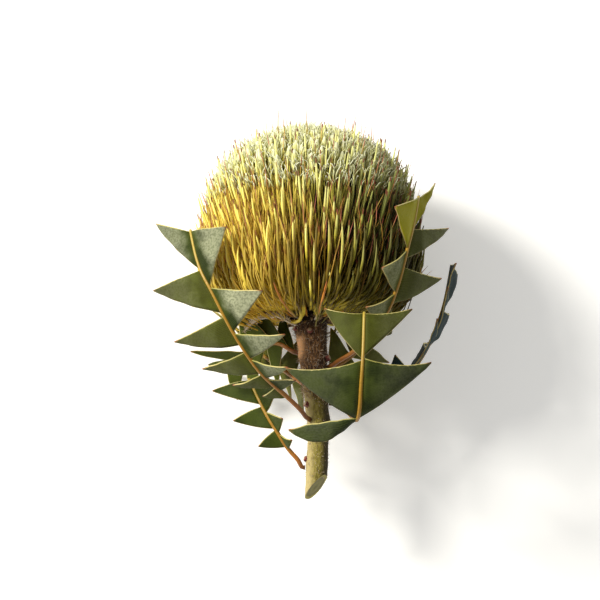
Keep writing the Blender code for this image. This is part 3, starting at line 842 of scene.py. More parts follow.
# %% Stem
# Each station: the stem's sideways place, the place along it and its radius.
STEM_STATIONS = np.array((
    (2.3, -84.0, 4.3),
    (2.4, -72.0, 4.3),
    (2.8, -64.5, 4.6),
    (3.2, -58.0, 4.2),
    (3.6, -47.0, 4.7),
    (2.8, -40.0, 4.8),
    (2.4, -34.0, 5.3),
    (1.8, -26.0, 5.4),
    (1.3, -20.0, 5.9),
    (0.8, -14.0, 5.9),
    (0.2, -7.5, 6.9),
    (0.0, -3.0, 7.6),
    (0.0, 1.5, 7.2),
))
STEM_RING_STEP = 1.0
STEM_SIDES = 48
STEM_MIDDLE = 2.4
CUT_POINT = np.array((STEM_MIDDLE, -73.7, 0.0))
CUT_NORMAL = Vector((0.9, -1.0, 0.54)).normalized()
SWELL = 0.5
UPPER_RIDGES, LOWER_RIDGES = 0.352, 0.1584
SMOOTHER_BELOW = -38.0


def stem_at(along):
    """Gives the stem's sideways place and radius at places along it."""
    return (np.interp(along, STEM_STATIONS[:, 1], STEM_STATIONS[:, 0]),
            np.interp(along, STEM_STATIONS[:, 1], STEM_STATIONS[:, 2]))


def bark_lumps(place, across, along):
    """Noise on the bark, by how fine it is across the stem and along it."""
    return noise.noise(Vector((place.x * across, place.y * along, place.z * across)))


ring_places = np.arange(STEM_STATIONS[0, 1], STEM_STATIONS[-1, 1] + 0.1, STEM_RING_STEP)
stem = stack_rings("stem_bark", STEM_SIDES, list(zip(ring_places, stem_at(ring_places)[1])))
lay_down(stem)
for corner in stem.data.vertices:
    place = corner.co.copy()
    shift, radius = stem_at(place.y)
    ridges = UPPER_RIDGES if place.y > SMOOTHER_BELOW else LOWER_RIDGES
    lump = SWELL * bark_lumps(place, 0.16, 0.1) + ridges * bark_lumps(place, 0.9, 0.35)
    grown = 1 + lump / radius
    corner.co = world((place.x * grown + shift, place.y, place.z * grown))
bpy.ops.object.mode_set(mode="EDIT")
bpy.ops.mesh.select_all(action="SELECT")
bpy.ops.mesh.bisect(plane_co=tuple(world(CUT_POINT)), plane_no=tuple(CUT_NORMAL), use_fill=True, clear_outer=True)
bpy.ops.object.mode_set(mode="OBJECT")
print("stem", triangles(stem), "triangles")

# %% Cut face
RIM_WIDTH, RIM_HEIGHT = 0.7 * MM, 0.25 * MM
WOOD_WIDTH, WOOD_HEIGHT = 1.6 * MM, 0.1 * MM
BARK_EDGE = math.radians(40)
cut_faces = [face.index for face in stem.data.polygons
             if face.normal.dot(CUT_NORMAL) > 0.99 and len(face.vertices) > 8]
bpy.ops.object.mode_set(mode="EDIT")
bpy.ops.mesh.select_all(action="DESELECT")
bpy.context.tool_settings.mesh_select_mode = (False, False, True)
bpy.ops.object.mode_set(mode="OBJECT")
for index in cut_faces:
    stem.data.polygons[index].select = True
bpy.ops.object.mode_set(mode="EDIT")
bpy.ops.mesh.inset(thickness=RIM_WIDTH, depth=-RIM_HEIGHT)
bpy.ops.mesh.inset(thickness=WOOD_WIDTH, depth=WOOD_HEIGHT)
bpy.ops.mesh.poke()
bpy.ops.object.mode_set(mode="OBJECT")
stem.data.shade_smooth()
pick(stem)
bpy.ops.object.shade_smooth_by_angle(angle=BARK_EDGE)
print("cut faces", len(cut_faces))

# %% [markdown]
# The bark is brown and rough near the bloom, and smoother and yellow-green towards the cut. Noise that is
# stretched along the stem gives its grain, and the coats follow the height and a bare tan patch; painted shade
# darkens the side away from the sun, and painted sunlight lightens the lower stem on the sunny side. The cut shows
# pale wood in rings, so its paint runs by the distance from the stem's middle.

# %% Bark and pith
bark_paint = Paint("bark", 0.8, Specular_IOR_Level=0.3)
x, y, z = bark_paint.plant_place()
stretched = bark_paint.add("Mapping", {}, {"Vector": bark_paint.place(), "Scale": (1.0, 0.3, 1.0)})
grain = bark_paint.noise(0.6, detail=4, vector=stretched)
blotch = bark_paint.noise(3.2, detail=3)
fleck = bark_paint.noise(0.5, detail=2)
upper_bark = bark_paint.ramp(grain, (0.3, "20130a"), (0.5, "5e4024"), (0.66, "9a7248"), (0.8, "d6b48a"))
lower_bark = bark_paint.ramp(grain, (0.3, "544a16"), (0.5, "80742c"), (0.7, "9c8e48"), (0.85, "b8a872"))
lower = (y + (blotch - 0.5) * 16).step(-30.0, -41.0)
ragged_y = y + blotch * 4
bare_patch = x.step(-1.0, -4.5) * ragged_y.step(-8.0, -10.5) * ragged_y.step(-19.0, -16.0)
from_middle = x - STEM_MIDDLE + (blotch - 0.5) * 2
bark_paint.coats(
    bark_paint.mix(lower, upper_bark, lower_bark),
    (bare_patch * 0.95, "e4ac78"),
    ((y + (grain - 0.5) * 8).step(-10.0, -3.5) * 0.85, "22170f"),
    (blotch.step(0.6, 0.75) * 0.5, "4a2f1c"),
    (fleck.step(0.62, 0.72) * 0.45, "cbbda4"),
    # Painted sunlight on the sunny side of the lower stem, then painted shade on the side away from the sun.
    (from_middle.step(0.3, -3.6) * lower * 0.6, "cdb984"),
    (from_middle.step(0.8, 4.5) * (lower * 0.15 + 0.7), "241a09"))
bark_paint.bump(grain + fleck * 0.4, 0.4)

pith_paint = Paint("cut_pith", 0.8)
x, y, z = pith_paint.plant_place()
grain = pith_paint.noise(0.6, detail=4)
off_middle = x - STEM_MIDDLE
ring = (off_middle * off_middle + z * z) ** 0.5 + (grain - 0.5) * 1.2
pith_paint.coats(pith_paint.ramp(ring / 5.0, (0.0, "6f6a3c"), (0.35, "8a8450"), (0.7, "77704a"), (0.86, "b7ac5c"),
                                 (1.0, "5c3a1c")))
pith_paint.bump(grain, 0.2)
for paint in (bark_paint, pith_paint):
    stem.data.materials.append(paint.material)
for face in stem.data.polygons:
    depth = (face.center - Vector(world(CUT_POINT))).dot(CUT_NORMAL)
    if face.normal.dot(CUT_NORMAL) > 0.8 and depth > -0.6 * MM:
        face.material_index = 1
wear(stem, None, "stem")
print("stem painted")

# %% [markdown]
# Small red-brown buds and leaf scars sit on the bark, and a fine down of pale hairs covers it. Each hair is a
# three-sided needle, a millimetre or two long.

# %% Stem buds
# Each bud: its place along the stem, degrees round it and its radius.
BUDS = ((-9.5, -4.0, 1.25), (-20.5, 72.0, 1.5), (-40.0, -58.0, 1.3), (-62.5, -80.0, 1.2), (-52.0, 165.0, 1.2),
        (-8.0, -62.0, 1.3), (-30.0, 28.0, 0.7))


def on_bark(along, degrees, proud):
    """Gives a place over the bark, by how far it stands proud of it, and the direction out of the stem there."""
    shift, radius = stem_at(along)
    outward = round_stem(degrees)
    return np.array((float(shift), along, 0.0)) + outward * (float(radius) + proud), outward


bud_routes = []
for along, degrees, radius in BUDS:
    foot, outward = on_bark(along, degrees, -0.9 * radius)
    tip = foot + outward * radius * 1.9 + UP * radius * 0.8
    bud_routes.append(bend([foot], [foot + outward * radius * 0.8], [tip - outward * radius * 0.4], [tip])[0])
bud_sizes = [radius * 2.1 for along, degrees, radius in BUDS]
stem_buds = grow("stem_buds", bud, bud_routes, bud_sizes, rng.uniform(0, 1, len(BUDS)))
stem_bud_paint = Paint("stem_bud", 0.6)
scales = stem_bud_paint.noise(0.8, detail=3)
tone, along = stem_bud_paint.growth()
stem_bud_paint.coats(
    stem_bud_paint.ramp(scales, (0.35, "3a1712"), (0.55, "86372c"), (0.75, "c49a84")),
    (along.step(0.75, 1.0) * 0.6, "d8c49a"))
stem_bud_paint.bump(scales, 0.3)
wear(stem_buds, stem_bud_paint, "stem")

# %% Stem down
# How many hairs, from where to where along the stem, and the shortest and longest.
UPPER_DOWN = (1000, -36.0, -1.0, 0.7, 1.8)
LOWER_DOWN = (600, -70.0, -36.0, 0.4, 1.1)
DOWN_WIDTHS = (0.12, 0.2)
HAIR_ROOT = 0.15


def hair_routes(foot, lean, length, curl):
    """Short hairs from their feet, which lean one way and curl another."""
    return bend(foot, foot + lean * length * 0.4, foot + lean * length * 0.8 + curl,
                foot + lean * length + curl * 2, steps=6)


def down_routes(count, low, high, length_low, length_high):
    """Short leaning hairs all round the stem between two places along it."""
    along = rng.uniform(low, high, count)
    shift, radius = stem_at(along)
    outward = round_stem(rng.uniform(-180, 180, count))
    foot = outward * (radius - HAIR_ROOT)[:, None] + np.stack([shift, along, np.zeros(count)], -1)
    length = rng.uniform(length_low, length_high, count)[:, None]
    lean = unit(outward + UP * rng.uniform(-0.6, 1.0, count)[:, None] + rng.normal(size=(count, 3)) * 0.35)
    return hair_routes(foot, lean, length, rng.normal(size=(count, 3)) * 0.25)


down_paint = Paint("stem_down", 0.8, Sheen_Weight=0.5)
tone, along = down_paint.growth()
down_paint.coats(down_paint.ramp(tone, (0.0, "7a5a3a"), (0.5, "b09070"), (1.0, "d8c8b0")))
routes = np.concatenate([down_routes(*UPPER_DOWN), down_routes(*LOWER_DOWN)])
crowd("stem_down", hair, routes, DOWN_WIDTHS, down_paint, "stem")

# %% [markdown]
# Round the stem's top grow narrow dry bracts. Some arch out sideways under the florets, and one long hairy one
# arches out to the left and down again over a leaf.

# %% Dry bracts
COLLAR = 34
COLLAR_RADIUS = 5.6
turn = np.arange(COLLAR) * 360.0 / COLLAR + rng.uniform(-5, 5, COLLAR)
outward = round_stem(turn)
foot = outward * COLLAR_RADIUS + UP * rng.uniform(-6.0, -1.5, COLLAR)[:, None]
length = rng.uniform(3.5, 7.5, COLLAR)[:, None]
rise = rng.uniform(0.0, 0.5, COLLAR)[:, None]
collar_routes = bend(foot, foot + outward * length * 0.35 + UP * 1.5,
                     foot + outward * length * 0.75 + UP * length * rise * 0.6,
                     foot + outward * length + UP * (length * rise - 1.0))

ARCHES = 22
# Each stop of an arch: how far to the side, how high, how far to the front, and how much the arches differ.
ARCH_STOPS = ((5.5, -4.5, 4.0, 0.8), (11.0, -4.2, 8.0, 1.4), (16.0, -2.0, 9.0, 2.0), (21.0, -1.4, 8.0, 3.0))
side = np.where(np.arange(ARCHES) % 2, 1.0, -1.0)
arch_controls = []
for across, height, front, spread in ARCH_STOPS:
    places = np.stack([side * across, np.full(ARCHES, height), np.full(ARCHES, front)], -1)
    arch_controls.append(places + rng.uniform(-spread, spread, (ARCHES, 3)))
bract_routes = np.concatenate([collar_routes, bend(*arch_controls)])
bract_widths = np.concatenate([rng.uniform(1.1, 2.1, COLLAR), rng.uniform(0.7, 1.3, ARCHES)])
bract_tones = rng.uniform(0, 1, COLLAR + ARCHES)
dry_bracts = grow("dry_bracts", strand, bract_routes, bract_widths, bract_tones, flat=0.5)
dry_paint = Paint("dry_bract", 0.85)
tone, along = dry_paint.growth()
dry_paint.coats(
    dry_paint.ramp(along + tone * 0.3, (0.0, "2f2015"), (0.5, "5c4128"), (1.0, "8f7350")),
    (dry_paint.noise(0.8).step(0.5, 0.7) * 0.5, "a58a68"))
dry_paint.bump(dry_paint.noise(0.5), 0.2)
wear(dry_bracts, dry_paint, "stem")

# %% The hairy bract
HAIRY_ARCH = ((-6.0, -7.0, 8.0), (-12.5, -1.5, 13.0), (-22.5, -2.2, 12.0), (-27.5, -9.5, 6.0))
HAIRY_WIDTH = 1.1
HAIRS = 260
FRINGE_LENGTH = 27
FRINGE_WIDTHS = (0.14, 0.22)
arch_route = bend_rows([HAIRY_ARCH])
hairy_bract = grow("hairy_bract", strand, arch_route, HAIRY_WIDTH, 0.8)
hairy_paint = Paint("hairy_bract", 0.85)
hairy_paint.coats(hairy_paint.ramp(hairy_paint.noise(0.7), (0.35, "dcc4a4"), (0.6, "f6e8d0"), (0.8, "fffaf0")))
hairy_paint.bump(hairy_paint.noise(0.4), 0.2)
wear(hairy_bract, hairy_paint, "stem")

foot = read_line(arch_route[0], rng.uniform(0, FRINGE_LENGTH, HAIRS))
lean = unit(rng.normal(size=(HAIRS, 3)) + UP * 0.7)
length = rng.uniform(0.9, 2.2, HAIRS)[:, None]
routes = hair_routes(foot, lean, length, rng.normal(size=(HAIRS, 3)) * 0.3)
crowd("hairy_fringe", hair, routes, FRINGE_WIDTHS, hairy_paint, "stem", tone_range=(0.6, 1))

# %% [markdown]
# A leaf is a row of pointed triangular lobes on both sides of a stout rib. The rib follows the same route as in
# the solid model, and each lobe is a fine grid stretched from its stretch of the rib out to its tip. A solidify
# gives the blade its thickness, and a slim rod runs along each free edge as the thick pale margin.

# %% Leaf routes and lobes
# Each leaf: its seat on the stem, as a place along it and degrees round it from the front, how far the upper
# edges of its lobes sag, as a share of their length (below zero they bulge), the route of its rib, and its lobes.
# A lobe gives the stretch of the rib, its tip, how far its lower edge bulges, how far it arches, how sunlit it
# is, how much of it wears a painted grey patch of sunlight away from the rib, which also makes it matte like wax,
# and how far its lower edge curls, if it does.
LEAVES = {
    "leaf_left_front": {
        "seat": (-46.0, -46.0), "sag": 0.0,
        "route": ((-3.5, -43, 8.5), (-10, -37.5, 15), (-21, -28.5, 25.5), (-31, -14.5, 33),
                  (-39.5, 1.5, 35.5), (-45.5, 14, 32.5), (-49.8, 32, 25.7)),
        "lobes": (
            (17, 24, (-19.5, -37, 10), 0.5, 0.5, 0.1, 0.1),
            (25, 33, (-32, -33, 12), 0.8, 0.8, 0.1, 0.1),
            (34, 45, (-44.5, -25.5, 10), 1.3, 1.0, 0.1, 0.1),
            (49, 62, (-56, -14.5, 12), 1.4, 1.5, 0.1, 0.1),
            (64, 84, (-65, 6.5, 14), 0.5, 2.0, 0.1, 0.15),
            (85, 103, (-64.5, 35.5, 11), 1.2, 1.5, 0.0, 0.55),
            (22, 30, (-6, -33, 28), 0.5, 0.5, 0.0, 0.2),
            (31, 41, (-9, -29, 38), 0.5, 1.0, 0.0, 0.5),
            (42, 54, (-10, -17, 47), 0.5, 1.5, 0.0, 0.7),
            (55, 75, (-19, 0.5, 48), 0.5, 2.0, 0.0, 1.0),
            (76, 103, (-34, 28, 40), 0.5, 1.0, 0.0, 0.75),
        ),
    },
    "leaf_left_low": {
        "seat": (-65.5, -88.0), "sag": -0.03,
        "route": ((-5, -62.5, 1.2), (-9, -58, 2), (-13, -52, 3), (-19, -42, 2), (-26, -27, -2)),
        "lobes": (
            (12.5, 20.5, (-21.5, -56.5, -2), 0.5, 0.5, 0.1, 0.0),
            (21.5, 32, (-32, -45.5, -4), 0.8, 0.8, 0.1, 0.0),
            (33.5, 45, (-41, -32.5, -7), 0.8, 1.0, 0.1, 0.0),
            (11, 18, (-7.5, -55, 8), 0.5, 0.5, 0.1, 0.1),
            (19, 29, (-11, -46, 8), 0.5, 0.5, 0.1, 0.1),
            (29, 45, (-11.5, -31, 8), 0.5, 0.5, 0.1, 0.1),
        ),
    },
    "leaf_left_mid": {
        "seat": (-17.0, -100.0), "sag": -0.03,
        "route": ((-13.5, -12.5, -6), (-21, -13, -12), (-29, -16.5, -19), (-37, -22, -27)),
        "lobes": (
            (9, 17, (-13.5, -30, -9), 0.8, 0.5, 0.2, 0.0),
            (18, 29, (-24, -33, -18), 1.0, 1.0, 0.2, 0.0),
            (30, 42, (-31, -33, -31), 1.0, 1.0, 0.2, 0.0),
            (1.5, 12, (-11.5, 1.5, -10), 0.8, 0.5, 0.1, 0.0),
            (5, 23, (-20.5, 3.0, -9), 0.8, 0.5, 0.15, 0.0),
            (12, 29, (-30.5, 2.5, -11), 0.8, 0.5, 0.2, 0.0),
            (26.3, 33.5, (-51, -14, -17), 1.6, 1.0, 0.3, 0.0),
            (34, 43, (-44, -17, -36), 1.0, 0.8, 0.2, 0.0),
        ),
    },
    "leaf_left_back": {
        "seat": (-30.0, -140.0), "sag": 0.02,
        "route": ((-7, -26, -11), (-14, -20, -19), (-21.5, -13, -27), (-28.5, -4, -34.5), (-33, 8, -40)),
        "lobes": (
            (3, 12, (-2, -43, -14), 0.8, 0.5, 0.15, 0.3),
            (12.5, 22, (-7.5, -34.5, -18), 0.8, 0.5, 0.2, 0.0),
            (23, 34, (-36, -19.5, -43.7), 1.0, 0.8, 0.2, 0.0),
            (35, 49, (-44, 9, -43.7), 1.0, 1.0, 0.2, 0.0),
            (9, 22, (-1.5, -4, -22), 0.8, 0.5, 0.2, 0.0),
            (23, 34, (-9, -0.5, -31), 0.8, 0.5, 0.2, 0.0),
            (35, 49, (-18, 1.5, -34), 0.8, 0.5, 0.15, 0.0),
        ),
    },
    "leaf_right_front": {
        "seat": (-34.5, 42.0), "sag": 0.055,
        "route": ((8.5, -38, 12), (13, -43, 22), (16.5, -48, 32), (18.5, -50.8, 39.5), (19.5, -47, 45),
                  (20, -38, 48.8), (20.8, -26, 50.3), (21.5, -8, 46.5)),
        "lobes": (
            (38, 43.5, (-9, -53.5, 31), 0.8, 0.5, 0.0, 0.1, 7.2),
            (43, 68, (-10, -30, 42), 0.8, 2.0, 0.0, 0.1),
            (69, 88, (5.5, -5.5, 40.5), 1.5, 1.0, 0.1, 0.05),
            (15, 24, (25, -34.5, 8), 0.5, 0.5, 0.1, 0.1),
            (33, 42, (37, -32, 24), 0.5, 1.0, 0.0, 0.1),
            (44, 69, (48.5, -28, 44), 0.5, 2.0, 0.0, 0.1),
            (70, 88, (41, -6, 42), 0.5, 1.0, 0.1, 0.1),
        ),
    },
    "leaf_right_side": {
        "seat": (-23.5, 78.0), "sag": 0.015,
        "route": ((12, -21.5, 6), (17.5, -19, 12), (26.5, -11.5, 24.5), (32, -4, 33), (36, 6.5, 37.5),
                  (39.5, 20, 35.5), (42.5, 32, 30), (45.3, 47, 23.5)),
        "lobes": (
            (30, 38, (15, -7.5, 36), 0.5, 0.5, 0.1, 0.3),
            (39, 52, (22.5, -6, 44.5), 0.8, 0.8, 0.1, 0.5),
            (53, 71, (28.5, 10, 46), 1.5, 1.5, 0.1, 0.5),
            (72, 98, (34, 36, 41.5), 1.5, 1.0, 1.0, 0.0),
            (22, 31, (23, -19.5, 8), 0.5, 0.5, 0.1, 0.1),
            (32, 46, (33.5, -11, 11), 0.8, 0.8, 0.1, 0.1),
            (48, 63.5, (54.5, 11.5, 15), 0.8, 1.5, 0.1, 0.1),
            (68, 82, (58, 34, 9), 1.5, 1.5, 0.1, 0.2),
            (83, 98, (52.3, 52.8, 11), 0.8, 1.0, 0.9, 0.0),
        ),
    },
    "leaf_right_far": {
        "seat": (-38.5, 92.0), "sag": 0.02,
        "route": ((15, -39.5, -1), (24, -38, -2), (37.5, -30, -5), (48.5, -16, -7), (56, 2, -8), (60, 21, -6)),
        "lobes": (
            (25, 40, (36, -16.5, -11), 0.8, 0.5, 0.1, 0.1),
            (41, 56, (53, -5, 12), 1.0, 1.0, 0.1, 0.1),
            (57, 72, (57, 8, 14), 1.0, 1.0, 0.1, 0.1),
            (73, 90, (61, 18, 14), 1.0, 0.8, 0.1, 0.1),
            (24, 36, (43, -21.5, -24), 0.8, 0.5, 0.1, 0.1),
            (37, 52, (51, -8, -31), 1.2, 1.0, 0.1, 0.1),
            (53, 70, (60, 5, -33), 1.2, 1.5, 0.1, 0.1),
            (71, 90, (63.5, 20.5, -27), 1.0, 1.0, 0.1, 0.1),
        ),
    },
    "leaf_right_back": {
        "seat": (-27.0, 140.0), "sag": 0.02,
        "route": ((9, -23, -11), (16, -17.5, -19), (23, -9.5, -27.5), (29, 0.5, -35.5), (34, 11.5, -40.5)),
        "lobes": (
            (7, 24, (9, -3.5, -20), 0.8, 0.5, 0.2, 0.1),
            (25, 35, (14.5, -1.5, -40), 0.8, 0.8, 0.2, 0.1),
            (13, 23, (24, -26, -22), 0.8, 0.5, 0.2, 0.1),
            (24, 36, (35, -15, -43.7), 1.0, 0.8, 0.2, 0.1),
            (37, 52, (43, 12, -43.7), 1.0, 1.0, 0.2, 0.1),
        ),
    },
}
Lobe = namedtuple("Lobe", "start end tip bulge arch sun wax curl", defaults=(0.0,))
print("leaves:", len(LEAVES), "with", sum(len(leaf["lobes"]) for leaf in LEAVES.values()), "lobes")

# %% Rib and margin rods
RIB_RINGS, RIB_SIDES = 30, 9
MARGIN_RINGS, MARGIN_SIDES = 11, 5
rib_rod = stack_rings("rib_rod", RIB_SIDES, [(i / RIB_RINGS, 0.5) for i in range(RIB_RINGS + 1)])
margin_rod = stack_rings("margin_rod", MARGIN_SIDES, [(i / MARGIN_RINGS, 0.5) for i in range(MARGIN_RINGS + 1)])
print("leaf models ready")

# %% [markdown]
# A lobe could be cut from a flat triangle, but a real one bulges, arches and curls. So each point of it is worked
# out from two shares: how far along its stretch of the rib, and how far out from the rib to its tip. The blade's
# grid and the rods of its margins read the same form, so that they fit.

# %% The form of a lobe
LOBE_BESIDE_RIB = 0.3
RIPPLE_FINENESS = 0.16
RIPPLE_HEIGHT = 0.9


def smooth_route(points, per_span=24):
    """A fine smooth line through a route's own points."""
    ends = [2 * points[0] - points[1], *points, 2 * points[-1] - points[-2]]
    line = []
    for index in range(1, len(ends) - 2):
        before, start, end, after = ends[index - 1:index + 3]
        for t in np.arange(per_span) / per_span:
            line.append(0.5 * (2 * start + (end - before) * t + (2 * before - 5 * start + 4 * end - after) * t ** 2
                               + (3 * start - before - 3 * end + after) * t ** 3))
    return np.array(line + [points[-1]])


def lobe_points(line, lobe, share, reach, sag):
    """Points of a lobe, by the share of its stretch of rib and the reach from the rib to its tip. They ripple a
    little, as a leathery blade is never flat."""
    tip = np.array(lobe.tip, float)
    middle, start, end = read_line(line, [(lobe.start + lobe.end) / 2, lobe.start, lobe.end])
    along = unit(end - start)
    outward = tip - middle
    outward = unit(outward - along * np.dot(outward, along))
    face_up = np.cross(along, outward)
    if face_up[2] < 0:
        face_up = -face_up
    base = read_line(line, lobe.start + (lobe.end - lobe.start) * share) + outward * LOBE_BESIDE_RIB
    bow = (4 * reach * (1 - reach))[:, None]
    share = share[:, None]
    points = base + (tip - base) * reach[:, None]
    points = points - (along * lobe.bulge + face_up * lobe.curl) * bow * (1 - share)
    points = points - along * np.linalg.norm(tip - middle) * sag * bow * share ** 2
    points = points + face_up * lobe.arch * bow
    ripple = np.array([noise.noise(Vector(point) * RIPPLE_FINENESS) for point in points])
    return points + face_up * (ripple * RIPPLE_HEIGHT * np.minimum(1, reach * 4))[:, None]


print("lobe form ready")

# %% Blade
LOBE_BASE_CELLS = 10
LOBE_TIP_CELLS = 12
LOBE_TIP_SHARE = 0.985
BLADE_THICKNESS = 0.5
BLADE_UV_PER_MM = 0.01


def make_lobe(name, line, lobe, sag):
    """Stretches a grid over the lobe, with its veins' places in a UV map and its light in an attribute."""
    bpy.ops.object.select_all(action="DESELECT")
    bpy.ops.mesh.primitive_grid_add(x_subdivisions=LOBE_BASE_CELLS, y_subdivisions=LOBE_TIP_CELLS, size=1)
    blade = bpy.context.active_object
    blade.name = name
    flat = np.array([tuple(corner.co) for corner in blade.data.vertices])
    share, reach = flat[:, 0] + 0.5, (flat[:, 1] + 0.5) * LOBE_TIP_SHARE
    points = above_floor(lobe_points(line, lobe, share, reach, sag), BLADE_CLEAR)
    blade.data.vertices.foreach_set("co", world(points).ravel().astype(np.float32))
    veins = blade.data.uv_layers[0]
    veins.name = "blade"
    width = (lobe.end - lobe.start) * BLADE_UV_PER_MM
    for loop, spot in zip(blade.data.loops, veins.data):
        spot.uv = (share[loop.vertex_index] * width, reach[loop.vertex_index])
    light = blade.data.attributes.new("light", "FLOAT_COLOR", "POINT")
    light.data.foreach_set("color", [lobe.sun, lobe.wax, 0.0, 1.0] * len(points))
    return blade


def make_blade(name, line, lobes, sag):
    """Joins a leaf's lobes and gives them their thickness."""
    parts = [make_lobe(f"{name}_lobe_{index}", line, lobe, sag) for index, lobe in enumerate(lobes)]
    bpy.ops.object.select_all(action="DESELECT")
    for part in parts:
        part.select_set(True)
    blade = parts[0]
    bpy.context.view_layer.objects.active = blade
    bpy.ops.object.join()
    blade.name = name + "_blade"
    wall = blade.modifiers.new("thickness", "SOLIDIFY")
    wall.thickness = BLADE_THICKNESS * MM
    wall.offset = 0.0
    pick(blade)
    bpy.ops.object.modifier_apply(modifier=wall.name)
    blade.data.shade_smooth()
    return blade


print("blade maker ready")

# %% Rib and margins
STALK_RADIUS = 1.0
RIB_END_RADIUS = 0.6
RIB_STEPS = 40
RIB_PAST_LOBES = 1.0
TAPER_STEPS = 400
MARGIN_STEPS = 12
MARGIN_TIP_SHARE = 0.992
UPPER_MARGIN_WIDTH = 0.62
LOWER_MARGIN_WIDTH = 0.46


def make_rib(name, line, lobes):
    """Runs a rod along the rib's route, and widens it to a radius that shrinks from the stalk to the tip."""
    rib_length = max(lobe.end for lobe in lobes) + RIB_PAST_LOBES
    route = read_line(line, np.linspace(0, rib_length, RIB_STEPS))
    rib = grow(name + "_rib", rib_rod, [route], 1.0, 0.0)
    corners = np.empty(len(rib.data.vertices) * 3)
    rib.data.vertices.foreach_get("co", corners)
    corners = corners.reshape(-1, 3) / MM - BLOOM_BASE
    middles = read_line(route, np.linspace(0, distances_along(route)[-1], TAPER_STEPS))
    nearest = np.argmin(np.linalg.norm(corners[:, None] - middles[None], axis=2), axis=1)
    radius = STALK_RADIUS + (RIB_END_RADIUS - STALK_RADIUS) * nearest / (TAPER_STEPS - 1)
    moved = middles[nearest] + (corners - middles[nearest]) / 0.5 * radius[:, None]
    rib.data.vertices.foreach_set("co", world(above_floor(moved, SKIN_CLEAR)).ravel())
    rib.data.update()
    return rib


def make_margins(name, line, lobes, sag):
    """Runs a slim rod along both free edges of every lobe: the lower one at share 0, the upper one at share 1."""
    edges, widths, tones = [], [], []
    reach = np.linspace(0.0, 1.0, MARGIN_STEPS) * MARGIN_TIP_SHARE
    for lobe in lobes:
        for share, width in ((0.0, LOWER_MARGIN_WIDTH), (1.0, UPPER_MARGIN_WIDTH)):
            edge = lobe_points(line, lobe, np.full(MARGIN_STEPS, share), reach, sag)
            edges.append(above_floor(edge, MARGIN_CLEAR))
            widths.append(width)
            tones.append(share)
    return grow(name + "_margin", margin_rod, edges, widths, tones)


print("rib and margin makers ready")

# %% [markdown]
# The blade is leathery: dark green, with fine parallel veins that run from the rib to the margin and a finer
# grain between them. Some lobes wear a painted grey patch of sunlight away from the rib, which also makes them
# matte like wax, and those the sun shines through are painted yellow-green. The small leaves at the lower left are
# a deeper green than the rest, and the one at the far right is painted blue-green for the shade and the sky's
# reflection on it. The rib and the margin are orange and straw yellow, with red-brown at each point.

# %% Blade paints
VEIN_SPACING = 1.55


def blade_paint(name, dark, mid, sun_patch_colour, sun_colour, vein_colour="646e28"):
    paint = Paint(name, 0.6, Specular_IOR_Level=0.14)
    across, reach, unused = paint.split(paint.add("UVMap", {"uv_map": "blade"}))
    sun, wax, unused = paint.split(paint.add("Attribute", {"attribute_name": "light"}))
    blotch = paint.noise(8.0, detail=3)
    grain = paint.noise(0.7, detail=4, roughness=0.65)
    speck = paint.noise(0.9, detail=2)
    wave = across * (math.tau / VEIN_SPACING / BLADE_UV_PER_MM) + (blotch - 0.5) * 5
    vein = wave.sine().size().step(0.3, 0.0)
    # Painted sunlight: a grey patch beyond the shade near the rib, and yellow-green where the sun shines through.
    painted_sun_patch = (reach + (blotch - 0.5) * 0.5).step(0.1, 0.4) * wax
    paint.coats(
        paint.mix(blotch.step(0.35, 0.65), dark, mid),
        (grain.step(0.5, 0.75) * 0.3, "4d5c26"),
        (vein * 0.75, vein_colour),
        (painted_sun_patch * (0.55 + 0.45 * speck.step(0.35, 0.6)), sun_patch_colour),
        (sun * (0.7 + 0.3 * grain), sun_colour),
        (reach.step(0.06, 0.0) * 0.4, "6b6a20"),
        (reach.step(0.9, 1.0) * 0.6, "8a6f3a"))
    paint.feed(paint.shader.inputs["Roughness"], 0.52 + grain * 0.2 + wax * 0.2)
    paint.bump(vein * 0.8 + grain * 0.6 + speck * 0.4, 0.3)
    return paint


leaf_green = blade_paint("leaf_green", "242d09", "39430e", "a8aa88", "aca41a")
leaf_deep = blade_paint("leaf_deep", "1a2606", "2c390b", "8c9070", "8c9618", "566420")
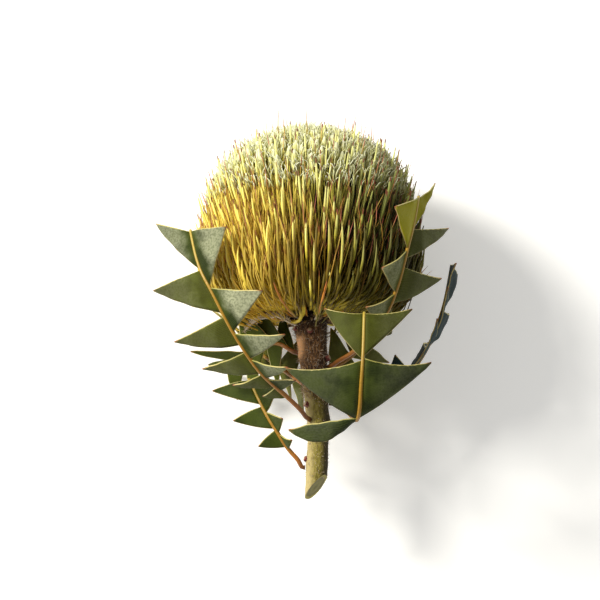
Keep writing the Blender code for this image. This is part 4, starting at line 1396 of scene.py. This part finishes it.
# The far right leaf's blue-green is painted shade and sky reflection.
leaf_shaded_teal = blade_paint("leaf_shaded_teal", "14242a", "22373c", "5c7076", "3f5a50")
OTHER_GREENS = {"leaf_right_far": leaf_shaded_teal, "leaf_left_low": leaf_deep, "leaf_left_mid": leaf_deep}
print("blade paints ready")

# %% Rib and margin paints
leaf_rib = Paint("leaf_rib", 0.45)
tone, along = leaf_rib.growth()
stretched = leaf_rib.noise(1.4, detail=3)
leaf_rib.coats(
    leaf_rib.ramp(along + (stretched - 0.5) * 0.15, (0.0, "6a3c1c"), (0.12, "a4641f"), (0.35, "9c6c10"),
                  (0.7, "a07814"), (1.0, "b8a040")),
    (leaf_rib.noise(0.8, detail=3).step(0.5, 0.7) * 0.35, "6e5a14"))
leaf_rib.bump(stretched, 0.15)

leaf_margin = Paint("leaf_margin", 0.5)
tone, along = leaf_margin.growth()
patch = leaf_margin.noise(2.0, detail=2)
leaf_margin.coats(
    leaf_margin.ramp(along + (patch - 0.5) * 0.1, (0.0, "8f8a3c"), (0.5, "bfb468"), (0.88, "ccbc76"),
                     (0.95, "a8743c"), (1.0, "8f4a30")),
    ((1 - tone) * 0.6 + patch.step(0.5, 0.7) * 0.2, "7a6432"))
print("rib and margin paints ready")

# %% Grow the leaves
SEAT_GAP = 0.3
STALK_FOOT = 1.5

for name, leaf in LEAVES.items():
    foot, outward = on_bark(*leaf["seat"], SEAT_GAP)
    knee = foot + outward * STALK_FOOT
    line = np.vstack([foot, smooth_route([knee, *np.array(leaf["route"], float)])])
    lobes = [Lobe(*row) for row in leaf["lobes"]]
    blade = make_blade(name, line, lobes, leaf["sag"])
    wear(blade, OTHER_GREENS.get(name, leaf_green), name)
    wear(make_rib(name, line, lobes), leaf_rib, name)
    wear(make_margins(name, line, lobes, leaf["sag"]), leaf_margin, name)
    print(name, triangles(blade), "triangles in the blade")

# %% [markdown]
# The models that everything was copied from are put away, and the size of the dressed flower is printed as its
# count of triangles.

# %% Finish
put_away(spindle, tube_floret, strand, bud, hair, rib_rod, margin_rod)
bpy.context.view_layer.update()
shown = [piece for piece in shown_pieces() if piece.type == "MESH" and not piece.hide_render]
print("triangles", sum(triangles(piece) for piece in shown))
